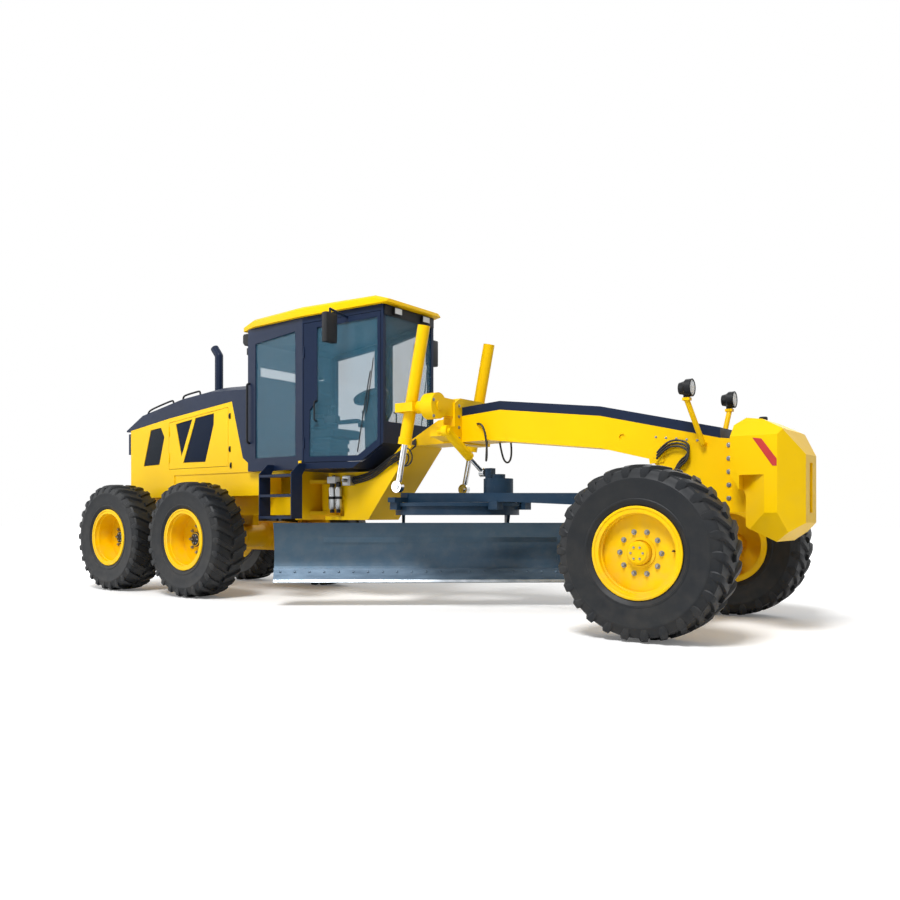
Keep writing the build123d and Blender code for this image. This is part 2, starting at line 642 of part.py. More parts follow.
def cab_side(inset, top_drop):
    """Side outline of the cab under its roof line."""
    front = CAB_FRONT_X - inset
    back = CAB_BACK_X + inset
    nose_slope = (CAB_NOSE_Z - CAB_FLOOR_Z) / (CAB_FRONT_X - CAB_NOSE_X)
    floor = CAB_FLOOR_Z + inset
    nose_z = CAB_NOSE_Z + inset * 0.6
    nose_x = front - (nose_z - floor) / nose_slope
    top = [(x, z - top_drop) for x, z in CAB_ROOF_LINE if back < x < front]
    return (
        [(back, floor), (nose_x, floor), (front, nose_z), (front, height_on(CAB_ROOF_LINE, front) - top_drop)]
        + top[::-1]
        + [(back, height_on(CAB_ROOF_LINE, back) - top_drop)]
    )


cab_outer = slab_xy(cab_plan(0), (1300, 3400)) & slab_xz(cab_side(0, 0), (-900, 900))
cab_inner = slab_xy(cab_plan(CAB_WALL), (1300, 3400)) & slab_xz(cab_side(CAB_WALL, CAB_WALL), (-900, 900))
wedge = Vector(CAB_FRONT_X - CAB_POST_X, CAB_HALF - CAB_FRONT_HALF, 0).normalized()
door_plane = Plane((CAB_POST_X, -CAB_HALF, 0), x_dir=wedge, z_dir=Vector(wedge.Y, -wedge.X, 0))
door_reach = (CAB_FRONT_X - CAB_POST_X) / wedge.X


def on_door_plane(outline, depth):
    """Slab of (distance along the door, z) points, from the outside face inwards."""
    face = Face(Wire.make_polygon([door_plane.from_local_coords(Vector(u, z, 0)) for u, z in outline]))
    return Solid.extrude(face, door_plane.z_dir * -depth)


def cab_door_outline(grow, edge):
    """Door outline in (distance along the door, z): its lower front corner follows the cab's nose."""
    rear = 20.0 - grow + edge
    front = door_reach - 32.0 + grow - edge * 0.6
    bottom = CAB_SILL_Z - grow + edge
    slope = (CAB_NOSE_Z - CAB_FLOOR_Z) / ((CAB_FRONT_X - CAB_NOSE_X) / wedge.X)
    corner_z = CAB_NOSE_Z - 20.0 - grow + edge
    corner_u = front - (corner_z - bottom) / slope
    top_rear = height_on(CAB_ROOF_LINE, CAB_POST_X) - 75.0 + grow - edge
    top_front = height_on(CAB_ROOF_LINE, CAB_FRONT_X) - 75.0 + grow - edge
    return [(rear, bottom), (corner_u, bottom), (front, corner_z), (front, top_front), (rear, top_rear)]


door_hole = on_door_plane(cab_door_outline(MOVING_GAP, 0), 200).moved(Location(door_plane.z_dir * 50))
SIDE_WINDOW = [(-1560.0, 1620.0), (-900.0, 1620.0), (-900.0, 3010.0), (-1560.0, 2950.0)]
side_window_hole = slab_xz(SIDE_WINDOW, (-CAB_HALF - 20, -CAB_HALF + CAB_WALL + 20))
REAR_WINDOW_HALF = 560.0
REAR_WINDOW_Z = (2600.0, 2720.0)
rear_window_hole = box((CAB_BACK_X - 20, CAB_BACK_X + CAB_WALL + 20), (-REAR_WINDOW_HALF, REAR_WINDOW_HALF), REAR_WINDOW_Z)
WINDSCREEN_HALF = CAB_FRONT_HALF - 42.0
WINDSCREEN_TOP_Z = 3100.0
windscreen_hole = box(
    (CAB_FRONT_X - CAB_WALL - 20, CAB_FRONT_X + 20), (-WINDSCREEN_HALF, WINDSCREEN_HALF), (WINDSCREEN_Z, WINDSCREEN_TOP_Z)
)
cab_frame = cab_outer - cab_inner
for hole in (door_hole, side_window_hole):
    cab_frame = cab_frame - hole - mirrored(hole)
cab_frame = cab_frame - rear_window_hole - windscreen_hole
cooler = box((CAB_BACK_X - 100, CAB_BACK_X), (-480, 480), (2740, 2985))
cab_frame = cab_frame + cooler
CAB_HINGES = (1700.0, 2700.0)
hinge_point = door_plane.from_local_coords(Vector(20, 0, 0))
cab_frame = with_frame_hinges(cab_frame, hinge_point.X, hinge_point.Y, CAB_HINGES)
cab_frame = mirrored(with_frame_hinges(mirrored(cab_frame), hinge_point.X, hinge_point.Y, CAB_HINGES))
save(cab_frame, "cab_frame")

# Roof panel with an overhang all round
ROOF_OVERHANG = 45.0
roof_plan = [(-1800.0, CAB_HALF - 30), (-1560.0, CAB_HALF + ROOF_OVERHANG), (CAB_POST_X, CAB_HALF + ROOF_OVERHANG)]
roof_plan += [(CAB_FRONT_X + 75, CAB_FRONT_HALF + ROOF_OVERHANG - 10)]
roof_plan += [(x, -y) for x, y in reversed(roof_plan)]
roof_side = [(-1800.0, 2985.0), (-1500.0, 3075.0), (CAB_POST_X, 3150.0), (235.0, height_on(CAB_ROOF_LINE, 235.0))]
roof_side += [(235.0, 3245.0), (80.0, 3300.0), (CAB_POST_X, 3245.0), (-1560.0, 3150.0), (-1800.0, 3050.0)]
cab_roof = slab_xy(roof_plan, (2900, 3400)) & slab_xz(roof_side, (-900, 900))
save(cab_roof, "cab_roof")


# Fixed glass, each pane in its opening
def shrunk(outline, gap):
    """Outline moved in towards its middle by a gap."""
    middle_x = sum(x for x, z in outline) / len(outline)
    middle_z = sum(z for x, z in outline) / len(outline)
    return [(x - gap if x > middle_x else x + gap, z - gap if z > middle_z else z + gap) for x, z in outline]


side_pane = slab_xz(shrunk(SIDE_WINDOW, SEAT_GAP), (-CAB_HALF + 15, -CAB_HALF + 15 + GLASS))
rear_pane = box(
    (CAB_BACK_X + 15, CAB_BACK_X + 15 + GLASS),
    (-REAR_WINDOW_HALF + SEAT_GAP, REAR_WINDOW_HALF - SEAT_GAP),
    (REAR_WINDOW_Z[0] + SEAT_GAP, REAR_WINDOW_Z[1] - SEAT_GAP),
)
windscreen = box(
    (CAB_FRONT_X - 15 - GLASS, CAB_FRONT_X - 15),
    (-WINDSCREEN_HALF + SEAT_GAP, WINDSCREEN_HALF - SEAT_GAP),
    (WINDSCREEN_Z + SEAT_GAP, WINDSCREEN_TOP_Z - SEAT_GAP),
)
save(Compound([side_pane, mirrored(side_pane), rear_pane, windscreen]), "cab_glass")


# Cab doors with their mirrors, and the glass in them
MIRROR_X = -190.0
MIRROR_Y = 900.0
MIRROR_Z = 2930.0


def make_cab_door():
    """Right cab door: a frame hinged on the post, with the mirror's arm and head fixed to it."""
    door = on_door_plane(cab_door_outline(0, 0), DOOR_THICKNESS) - on_door_plane(
        cab_door_outline(0, DOOR_EDGE - 25), DOOR_THICKNESS + 20
    ).moved(Location(door_plane.z_dir * 5))
    post = [(20, CAB_SILL_Z + 10), (85, CAB_SILL_Z + 10), (95, 2120), (185, 2230), (185, 3060), (20, 3060)]
    door = door + on_door_plane(post, DOOR_THICKNESS)
    arm_foot = door_plane.from_local_coords(Vector(560, 3098, -20))
    arm_knee = (MIRROR_X, -MIRROR_Y, MIRROR_Z + 190)
    arm = rod((arm_foot.X, arm_foot.Y, arm_foot.Z), arm_knee, 12)
    drop = rod(arm_knee, (MIRROR_X, -MIRROR_Y, MIRROR_Z), 12)
    head = box(
        (MIRROR_X - 35, MIRROR_X + 25), (-MIRROR_Y - 75, -MIRROR_Y + 75), (MIRROR_Z - 160, MIRROR_Z + 140)
    )
    return fused(door, arm, drop, head)


def make_door_glass():
    """Right door pane, in the opening of its frame."""
    pane = on_door_plane(cab_door_outline(-SEAT_GAP, DOOR_EDGE - 25), GLASS).moved(Location(door_plane.z_dir * -15))
    post = [(0, CAB_SILL_Z - 10), (85.3, CAB_SILL_Z - 10), (95.3, 2119), (185.3, 2229), (185.3, 3200), (0, 3200)]
    return pane - on_door_plane(post, DOOR_THICKNESS)


cab_door = with_door_hinges(make_cab_door(), hinge_point.X, hinge_point.Y, CAB_HINGES)
door_glass = make_door_glass()
save(cab_door, "cab_door_right")
save(mirrored(cab_door), "cab_door_left")
save(door_glass, "door_glass_right")
save(mirrored(door_glass), "door_glass_left")

# Seat and steering console on the cab's floor
floor_z = CAB_FLOOR_Z + CAB_WALL
pedestal = box((-1180, -880), (-170, 170), (floor_z, floor_z + 330))
cushion = box((-1260, -760), (-250, 250), (floor_z + 330, floor_z + 450))
backrest = slab_xz(
    [(-1260, floor_z + 450), (-1130, floor_z + 450), (-1230, floor_z + 1080), (-1340, floor_z + 1080)], (-240, 240)
)
save(fused(pedestal, cushion, backrest), "seat")
column = slab_xz([(-420, floor_z), (-230, floor_z), (-330, floor_z + 800), (-440, floor_z + 780)], (-70, 70))
wheel_middle = Vector(-395, 0, floor_z + 790)
wheel_axis = Vector(-0.35, 0, 0.94).normalized()
wheel_ring = turned(
    [(180, -14), (205, -14), (205, 14), (180, 14)], (wheel_middle.X, 0, wheel_middle.Z), (wheel_axis.X, 0, wheel_axis.Z)
)
wheel_disc = turned([(0, -10), (185, -5), (185, 5), (0, 10)], (wheel_middle.X, 0, wheel_middle.Z), (wheel_axis.X, 0, wheel_axis.Z))
save(fused(column, wheel_ring, wheel_disc), "steering_console")


# Ladders below the cab doors
def make_ladder():
    """Right ladder: two side plates with pointed tops, and its treads."""
    treads = (940.0, 1180.0, 1400.0)
    plates = []
    for plate_x in (-1262.0, -752.0):
        outline = [(-925, 920), (-760, 920), (-760, 1400), (-CAB_HALF, 1475), (-CAB_HALF, 1530), (-800, 1530), (-925, 1420)]
        plates.append(slab_yz(outline, (plate_x, plate_x + 12)))
    ladder = plates[0] + plates[1]
    for tread_z in treads:
        ladder = ladder + box((-1262, -740), (-925, -790), (tread_z - 20, tread_z + 8))
    return ladder


ladder = make_ladder()
save(Compound([ladder, mirrored(ladder)]), "ladders")

# Front frame: rear knuckle, low shoe under the cab, leg, gooseneck and bolster
NECK_TOP = [(300.0, 1740.0), (700.0, 1950.0), (1000.0, 2060.0 - COVER_THICKNESS), (1450.0, 2090.0 - COVER_THICKNESS)]
NECK_TOP += [(2520.0, 1950.0 - COVER_THICKNESS), (FRONT_AXLE_X + 280, 1690.0 - COVER_THICKNESS), (BOLSTER_FRONT_X, 1590.0)]
NECK_UNDER = [(BOLSTER_BACK_X, 1300.0), (BOLSTER_BACK_X - 140, 1450.0), (2520.0, 1570.0), (1320.0, 1710.0), (410.0, 1700.0)]
neck_outline = [(-150.0, 1380.0), (-30.0, 1440.0)] + NECK_TOP + [(BOLSTER_FRONT_X, BOLSTER_BOTTOM_Z), (BOLSTER_BACK_X, BOLSTER_BOTTOM_Z)]
neck_outline += NECK_UNDER + [(-210.0, FRAME_BOTTOM_Z), (-450.0, FRAME_BOTTOM_Z), (-450.0, 1380.0)]
neck = slab_xz(neck_outline, (-NECK_HALF, NECK_HALF))
shoe_outline = [(-30.0, 1440.0), (300.0, 1740.0), (410.0, 1700.0), (-210.0, FRAME_BOTTOM_Z), (-560.0, FRAME_BOTTOM_Z)]
shoe_outline += [(-560.0, 1060.0), (-700.0, 1180.0), (-780.0, 1330.0), (-800.0, 1440.0)]
shoe_plate = slab_xz(shoe_outline, (-SHOE_HALF, -SHOE_HALF + 70))
shoe_top = box((-800, -90), (-SHOE_HALF, SHOE_HALF), (1405, 1440))
shoe_bottom = box((PIVOT_X + PIVOT_BOSS_RADIUS + 25, -240), (-SHOE_HALF, SHOE_HALF), (FRAME_BOTTOM_Z, FRAME_BOTTOM_Z + 40))
knuckle_low = PIVOT_LOWER_Z + PIVOT_PLATE + MOVING_GAP
knuckle_high = PIVOT_UPPER_Z - PIVOT_PLATE - MOVING_GAP
knuckle_block = box((PIVOT_X, -440), (-KNUCKLE_HALF, KNUCKLE_HALF), (knuckle_low, knuckle_high))
knuckle_round = rod((PIVOT_X, 0, knuckle_low), (PIVOT_X, 0, knuckle_high), KNUCKLE_HALF)
knuckle_web = box((-870, -440), (-20, 20), (920, knuckle_low + 5))
front_frame = fused(neck, shoe_plate, mirrored(shoe_plate), shoe_top, shoe_bottom, knuckle_block, knuckle_round, knuckle_web)
front_frame = front_frame - rod((PIVOT_X, 0, 900), (PIVOT_X, 0, 1420), PIVOT_PIN_RADIUS + PIN_FIT)

# Bolster ears around the front axle's pivot, with the pin between them
ear_out = AXLE_HALF_X + MOVING_GAP + 50
for low, high in ((-ear_out, -AXLE_HALF_X - MOVING_GAP), (AXLE_HALF_X + MOVING_GAP, ear_out)):
    ear_x = (FRONT_AXLE_X + low, FRONT_AXLE_X + high)
    ear = box(ear_x, (-AXLE_BOSS_RADIUS, AXLE_BOSS_RADIUS), (AXLE_PIVOT_Z, BOLSTER_BOTTOM_Z))
    ear_round = rod((ear_x[0], 0, AXLE_PIVOT_Z), (ear_x[1], 0, AXLE_PIVOT_Z), AXLE_BOSS_RADIUS)
    front_frame = fused(front_frame, ear, ear_round)
front_frame = front_frame + rod(
    (FRONT_AXLE_X - ear_out, 0, AXLE_PIVOT_Z), (FRONT_AXLE_X + ear_out, 0, AXLE_PIVOT_Z), AXLE_PIVOT_RADIUS
)

# Hitch for the drawbar's ball: two plates behind the bolster
ball_x, ball_y, ball_z = BALL
BALL_PIN_HALF = BALL_RADIUS + 34.0
HITCH_PLATE = 28.0
for sign in (-1, 1):
    inner_z = ball_z + sign * (BALL_RADIUS + 4)
    outer_z = inner_z + sign * HITCH_PLATE
    levels = (min(inner_z, outer_z), max(inner_z, outer_z))
    plate = slab_xy([(BOLSTER_BACK_X, -150), (ball_x, -60), (ball_x, 60), (BOLSTER_BACK_X, 150)], levels)
    nose = rod((ball_x, 0, levels[0]), (ball_x, 0, levels[1]), 60)
    front_frame = fused(front_frame, plate, nose)
front_frame = front_frame - rod(
    (ball_x, 0, ball_z - BALL_PIN_HALF - 30), (ball_x, 0, ball_z + BALL_PIN_HALF + 30), BALL_PIN_RADIUS + PIN_FIT
)

# Dark cover strip along the gooseneck's top
cover_line = NECK_TOP[2:6]
cover_outline = cover_line + [(x, z + COVER_THICKNESS) for x, z in reversed(cover_line)]
cover_outline = [(1000.0, NECK_TOP[2][1])] + cover_outline[1:]
frame_cover = slab_xz(cover_outline, (-NECK_HALF, NECK_HALF))

# Saddle around the gooseneck, with an arm and a round bearing on each side
tx, ty, tz = TRUNNION
SADDLE_HEAD_RADIUS = 130.0
saddle_half = [(0, 2150), (-230, 2150), (-330, 2090), (-330, 1690), (0, 1690)]
saddle = slab_yz(saddle_half + [(-y, z) for y, z in reversed(saddle_half[1:-1])], (SADDLE_BACK_X, SADDLE_FRONT_X))
arm = slab_yz([(-300, 1960), (-300, 2130), (ty, tz + 95), (ty, tz - 95)], (SADDLE_BACK_X + 20, SADDLE_FRONT_X - 20))
head = rod((SADDLE_BACK_X, ty, tz), (SADDLE_FRONT_X, ty, tz), SADDLE_HEAD_RADIUS)
shift_x, shift_y, shift_z = SHIFT_TOP
shift_arm = slab_yz(
    [(-300, 1700), (-300, 1860), (shift_y, shift_z + 45), (shift_y, shift_z - 45)], (SADDLE_BACK_X, SADDLE_FRONT_X)
)
saddle = fused(saddle, arm, mirrored(arm), head, mirrored(head), shift_arm)
SHIFT_PIN_RADIUS = 25.0
saddle = saddle + rod((SADDLE_FRONT_X - 40, shift_y, shift_z), (shift_x + 55, shift_y, shift_z), SHIFT_PIN_RADIUS)
saddle = saddle - front_frame - frame_cover
yoke_bore = rod((SADDLE_BACK_X - 10, ty, tz), (SADDLE_FRONT_X + 10, ty, tz), YOKE_PIN_RADIUS + PIN_FIT)
saddle = saddle - yoke_bore - mirrored(yoke_bore)

# Leaning lamp posts on the gooseneck's sides, and the shallow round eyes in its cheeks
LAMP_HEADS = [(FRONT_AXLE_X + 73, -400.0, 2012.0), (FRONT_AXLE_X + 185, 345.0, 1982.0)]
LAMP_DROP = 80.0
POST_RADIUS = 22.0
for head_x, head_y, head_z in LAMP_HEADS:
    side = -1 if head_y < 0 else 1
    foot = (FRONT_AXLE_X + 150, side * 240.0, 1560.0)
    pad = box((head_x - 30, head_x + 30), (head_y - 30, head_y + 30), (head_z - LAMP_DROP - 24, head_z - LAMP_DROP))
    bracket = rod((foot[0], side * (NECK_HALF - 10), foot[2]), foot, POST_RADIUS)
    knee = Solid.make_sphere(POST_RADIUS, Plane(foot), -90, 90, 360)
    post = rod(foot, (head_x, head_y, head_z - LAMP_DROP - 18), POST_RADIUS)
    front_frame = fused(front_frame, bracket, knee, post, pad)
for side in (-1, 1):
    front_frame = front_frame - rod((2728, side * (NECK_HALF - 14), 1659), (2728, side * (NECK_HALF + 10), 1659), 28)
save(front_frame, "front_frame")
save(frame_cover, "frame_cover")
save(saddle, "saddle")

# Counterweight with a faceted nose and a slot in it
WEIGHT_BACK_X = BOLSTER_FRONT_X + 30
weight_plan = [(WEIGHT_BACK_X, WEIGHT_HALF), (WEIGHT_NOSE_X - 154, WEIGHT_HALF), (WEIGHT_NOSE_X, 170)]
weight_plan += [(x, -y) for x, y in reversed(weight_plan)]
weight_side = [(WEIGHT_BACK_X, 1290), (WEIGHT_BACK_X, 1690), (WEIGHT_BACK_X + 80, WEIGHT_TOP_Z)]
weight_side += [(WEIGHT_NOSE_X - 300, 1730), (WEIGHT_NOSE_X - 130, 1640), (WEIGHT_NOSE_X, 1440), (WEIGHT_NOSE_X, 900)]
weight_side += [(WEIGHT_NOSE_X - 190, WEIGHT_BOTTOM_Z), (WEIGHT_BACK_X + 95, 870), (WEIGHT_BACK_X + 95, 1120)]
weight_front = [(-WEIGHT_HALF, 980), (-WEIGHT_HALF, 1590), (-240, WEIGHT_TOP_Z)]
weight_front += [(-y, z) for y, z in reversed(weight_front)]
weight_front += [(270, WEIGHT_BOTTOM_Z), (-270, WEIGHT_BOTTOM_Z)]
weight = slab_xy(weight_plan, (700, 1800)) & slab_xz(weight_side, (-500, 500))
weight = weight & slab_yz(weight_front, (WEIGHT_BACK_X - 10, WEIGHT_NOSE_X + 10))
cut_x = (WEIGHT_BACK_X + 70, WEIGHT_BACK_X + 260)
corner_cut = slab_xy([(cut_x[0], -420), (cut_x[1], -420), (cut_x[1], -400), (cut_x[0], -290)], (700, 1281))
weight = weight - corner_cut - mirrored(corner_cut)
weight = weight - box((WEIGHT_NOSE_X - 60, WEIGHT_NOSE_X + 10), (-45, 45), (980, 1380))
backing = box((BOLSTER_FRONT_X, WEIGHT_BACK_X + 100), (-220, 220), (BOLSTER_BOTTOM_Z, 1620))
save(weight + backing, "counterweight")


# Round headlamps, each seated on the pad of its post
def make_headlamp(head):
    """Lamp with a stepped housing, a lens seat in front and a foot under it."""
    x, y, z = head
    profile = [(0, -60), (48, -60), (58, -20), (74, 0), (74, 46), (66, 46), (66, 34), (0, 34)]
    foot = box((x - 22, x + 22), (y - 22, y + 22), (z - LAMP_DROP, z - 50))
    return fused(turned(profile, head, (1, 0, 0)), foot)


save(Compound([make_headlamp(head) for head in LAMP_HEADS]), "headlamps")

# Front axle beam: arched, with a boss for the centre pivot and one at each end for the lean pins
beam_half = [(0, 790), (-200, 790), (-LEAN_Y + 60, 735), (-LEAN_Y + 60, 615), (-200, 600), (0, 600)]
beam = slab_yz(beam_half + [(-y, z) for y, z in reversed(beam_half[1:-1])], (FRONT_AXLE_X - AXLE_HALF_X, FRONT_AXLE_X + AXLE_HALF_X))
boss_x = (FRONT_AXLE_X - AXLE_HALF_X, FRONT_AXLE_X + AXLE_HALF_X)
centre_boss = rod((boss_x[0], 0, AXLE_PIVOT_Z), (boss_x[1], 0, AXLE_PIVOT_Z), AXLE_BOSS_RADIUS)
centre_web = box(boss_x, (-AXLE_BOSS_RADIUS, AXLE_BOSS_RADIUS), (780, AXLE_PIVOT_Z))
end_boss = rod((boss_x[0], -LEAN_Y, AXLE_Z), (boss_x[1], -LEAN_Y, AXLE_Z), LEAN_BOSS_RADIUS)
front_axle = fused(beam, centre_boss, centre_web, end_boss, mirrored(end_boss))
front_axle = front_axle - rod((boss_x[0] - 5, 0, AXLE_PIVOT_Z), (boss_x[1] + 5, 0, AXLE_PIVOT_Z), AXLE_PIVOT_RADIUS + PIN_FIT)
lean_bore = rod((boss_x[0] - 5, -LEAN_Y, AXLE_Z), (boss_x[1] + 5, -LEAN_Y, AXLE_Z), LEAN_PIN_RADIUS + PIN_FIT)
front_axle = front_axle - lean_bore - mirrored(lean_bore)
save(front_axle, "front_axle")


# Lean bracket: ears on the axle's end, an upright block, and ears around the kingpin
def make_lean_bracket():
    """Right lean bracket."""
    inner = AXLE_HALF_X + MOVING_GAP
    outer = inner + EAR
    block = box((FRONT_AXLE_X - 75, FRONT_AXLE_X + 75), (-785, -722), (AXLE_Z - 150, AXLE_Z + 150))
    bracket = block
    for low, high in ((-outer, -inner), (inner, outer)):
        x = (FRONT_AXLE_X + low, FRONT_AXLE_X + high)
        round_end = rod((x[0], -LEAN_Y, AXLE_Z), (x[1], -LEAN_Y, AXLE_Z), LEAN_BOSS_RADIUS - 8)
        cheek = box(x, (-770, -LEAN_Y), (AXLE_Z - 72, AXLE_Z + 72))
        bracket = fused(bracket, round_end, cheek)
    arm_notch = box((FRONT_AXLE_X - 80, FRONT_AXLE_X + 15), (-790, -715), (AXLE_Z - 110, AXLE_Z - 72))
    bracket = bracket - arm_notch
    tie = box((FRONT_AXLE_X - outer, FRONT_AXLE_X + outer), (-770, -722), (AXLE_Z - 72, AXLE_Z + 74))
    pin = rod((FRONT_AXLE_X - outer, -LEAN_Y, AXLE_Z), (FRONT_AXLE_X + outer, -LEAN_Y, AXLE_Z), LEAN_PIN_RADIUS)
    bracket = fused(bracket, tie, pin)
    for low, high in ((-KNUCKLE_HALF_HEIGHT - MOVING_GAP - EAR, -KNUCKLE_HALF_HEIGHT - MOVING_GAP), (KNUCKLE_HALF_HEIGHT + MOVING_GAP, KNUCKLE_HALF_HEIGHT + MOVING_GAP + EAR)):
        z = (AXLE_Z + low, AXLE_Z + high)
        ear = box((FRONT_AXLE_X - KINGPIN_EAR_RADIUS, FRONT_AXLE_X + KINGPIN_EAR_RADIUS), (-KINGPIN_Y, -750), z)
        ear_round = rod((FRONT_AXLE_X, -KINGPIN_Y, z[0]), (FRONT_AXLE_X, -KINGPIN_Y, z[1]), KINGPIN_EAR_RADIUS)
        bracket = fused(bracket, ear, ear_round)
    reach = KNUCKLE_HALF_HEIGHT + MOVING_GAP + EAR
    kingpin = rod((FRONT_AXLE_X, -KINGPIN_Y, AXLE_Z - reach), (FRONT_AXLE_X, -KINGPIN_Y, AXLE_Z + reach), KINGPIN_RADIUS)
    return bracket + kingpin


lean_bracket = make_lean_bracket()
save(lean_bracket, "lean_bracket_right")
save(mirrored(lean_bracket), "lean_bracket_left")


# Steering knuckle: a barrel on the kingpin, the wheel's spindle and the steering arm
def make_knuckle():
    """Right knuckle."""
    barrel = rod(
        (FRONT_AXLE_X, -KINGPIN_Y, AXLE_Z - KNUCKLE_HALF_HEIGHT),
        (FRONT_AXLE_X, -KINGPIN_Y, AXLE_Z + KNUCKLE_HALF_HEIGHT),
        KINGPIN_EAR_RADIUS,
    )
    spindle_end = TRACK_HALF + FRONT_DISC_OFFSET + DISC_THICKNESS
    spindle = rod((FRONT_AXLE_X, -KINGPIN_Y, AXLE_Z), (FRONT_AXLE_X, -spindle_end, AXLE_Z), SPINDLE_RADIUS)
    shoulder = rod((FRONT_AXLE_X, -KINGPIN_Y, AXLE_Z), (FRONT_AXLE_X, -KINGPIN_Y - 100, AXLE_Z), SPINDLE_RADIUS + 25)
    arm_end = (FRONT_AXLE_X + ARM_X, -KINGPIN_Y - ARM_Y, AXLE_Z + ARM_Z)
    arm_plan = [(FRONT_AXLE_X, -KINGPIN_Y - 40), (FRONT_AXLE_X, -KINGPIN_Y + 40), (arm_end[0], arm_end[1] + 28), (arm_end[0], arm_end[1] - 28)]
    arm_plate = slab_xy(arm_plan, (arm_end[2] - ARM_HALF, arm_end[2] + ARM_HALF))
    arm_round = rod((arm_end[0], arm_end[1], arm_end[2] - ARM_HALF), (arm_end[0], arm_end[1], arm_end[2] + ARM_HALF), 28)
    arm_pin = rod((arm_end[0], arm_end[1], arm_end[2] - 60), (arm_end[0], arm_end[1], arm_end[2]), TIE_PIN_RADIUS)
    knuckle = fused(barrel, spindle, shoulder, arm_plate, arm_round, arm_pin)
    bore = rod(
        (FRONT_AXLE_X, -KINGPIN_Y, AXLE_Z - KNUCKLE_HALF_HEIGHT - 5),
        (FRONT_AXLE_X, -KINGPIN_Y, AXLE_Z + KNUCKLE_HALF_HEIGHT + 5),
        KINGPIN_RADIUS + PIN_FIT,
    )
    return knuckle - bore


knuckle = make_knuckle()
save(knuckle, "knuckle_right")
save(mirrored(knuckle), "knuckle_left")

# Tie rod: its end on the right arm's pin, then the rod across to the left arm
tie_x = FRONT_AXLE_X + ARM_X
tie_y = KINGPIN_Y + ARM_Y
tie_z = AXLE_Z + ARM_Z - 46
end_outer = rod((tie_x, -tie_y, tie_z - 14), (tie_x, -tie_y, tie_z + 14), 24)
end_shank = box((tie_x - 10, tie_x + 10), (-tie_y, -tie_y + 62), (tie_z - 12, tie_z + 12))
cross_pin = rod((tie_x - 34, -tie_y + 62, tie_z), (tie_x + 34, -tie_y + 62, tie_z), 10)
tie_bore = rod((tie_x, -tie_y, tie_z - 30), (tie_x, -tie_y, tie_z + 30), TIE_PIN_RADIUS + PIN_FIT)
save(fused(end_outer, end_shank, cross_pin) - tie_bore, "tie_rod_end")
fork_start = -tie_y + 62
fork = box((tie_x - 34, tie_x + 34), (fork_start - 16, fork_start + 60), (tie_z - 18, tie_z + 18))
fork = fork - box((tie_x - 16, tie_x + 16), (fork_start - 20, fork_start + 22), (tie_z - 30, tie_z + 30))
fork = fork - rod((tie_x - 40, fork_start, tie_z), (tie_x + 40, fork_start, tie_z), 10 + PIN_FIT)
bar = rod((tie_x, fork_start + 55, tie_z), (tie_x, tie_y - EYE_SLOT - 5, tie_z), TIE_ROD_RADIUS)


def long_eye(radius, half_height):
    """Upright slot form around the left arm's pin, long across the machine."""
    levels = (tie_z - half_height, tie_z + half_height)
    reach = (tie_y - EYE_SLOT, tie_y + 2)
    form = box((tie_x - radius, tie_x + radius), reach, levels)
    for end_y in reach:
        form = form + rod((tie_x, end_y, levels[0]), (tie_x, end_y, levels[1]), radius)
    return form


tie_rod = fused(fork, bar, long_eye(24, 14)) - long_eye(TIE_PIN_RADIUS + EYE_PLAY, 30)
save(tie_rod, "tie_rod")

# Ball of the drawbar, with its upright pin
ball = Solid.make_sphere(BALL_RADIUS, Plane(BALL), -90, 90, 360)
ball_pin = rod((ball_x, 0, ball_z - BALL_PIN_HALF), (ball_x, 0, ball_z + BALL_PIN_HALF), BALL_PIN_RADIUS)
cross_bore = rod((ball_x, -BALL_RADIUS - 5, ball_z), (ball_x, BALL_RADIUS + 5, ball_z), BALL_PIN_RADIUS + PIN_FIT)
save(ball + ball_pin - cross_bore, "drawbar_ball")

# Drawbar: an A-frame from the ball back to a cross, with the gearbox that turns the circle
TAIL_X = ball_x - 140
BEAM_TOP = [(CROSS_X - 55, CROSS_TOP_Z), (TAIL_X - 400, 1165.0), (TAIL_X + 10, 1150.0)]
BEAM_UNDER = [(CROSS_X - 55, DRAWBAR_BOTTOM_Z), (1600.0, DRAWBAR_BOTTOM_Z), (TAIL_X + 10, DRAWBAR_BOTTOM_Z - 60)]
beam_plan = [(CROSS_X, -430 - BEAM_WIDTH / 2), (CROSS_X, -430 + BEAM_WIDTH / 2)]
beam_plan += [(TAIL_X, -60), (TAIL_X, -60 - BEAM_WIDTH / 2)]
beam_band = slab_xz(BEAM_UNDER + BEAM_TOP[::-1], (-700, 700))
beam = slab_xy(beam_plan, (1000, 1300)) & beam_band
cross = box((CROSS_X - CROSS_HALF_X, CROSS_X + CROSS_HALF_X), (-490, 490), (DRAWBAR_BOTTOM_Z, CROSS_TOP_Z))
tail = box((TAIL_X - 90, TAIL_X + 10), (-115, 115), (1035, 1140))
fork_ear = box((TAIL_X, ball_x), (-115, -BALL_RADIUS - 4), (ball_z - 50, ball_z + 50))
fork_round = rod((ball_x, -115, ball_z), (ball_x, -BALL_RADIUS - 4, ball_z), 50)
ball_cross_pin = rod((ball_x, -115, ball_z), (ball_x, 115, ball_z), BALL_PIN_RADIUS)
outrigger = box((CROSS_X - CROSS_HALF_X, CROSS_X + CROSS_HALF_X), (-700, -480), (DRAWBAR_BOTTOM_Z, 1140))
right_half = fused(beam, fork_ear, fork_round, outrigger)
drawbar = fused(right_half, mirrored(right_half), cross, tail, ball_cross_pin)
gearbox_plate = box((GEARBOX_X - 150, GEARBOX_X + 150), (-300, 300), (DRAWBAR_BOTTOM_Z, DRAWBAR_BOTTOM_Z + 40))
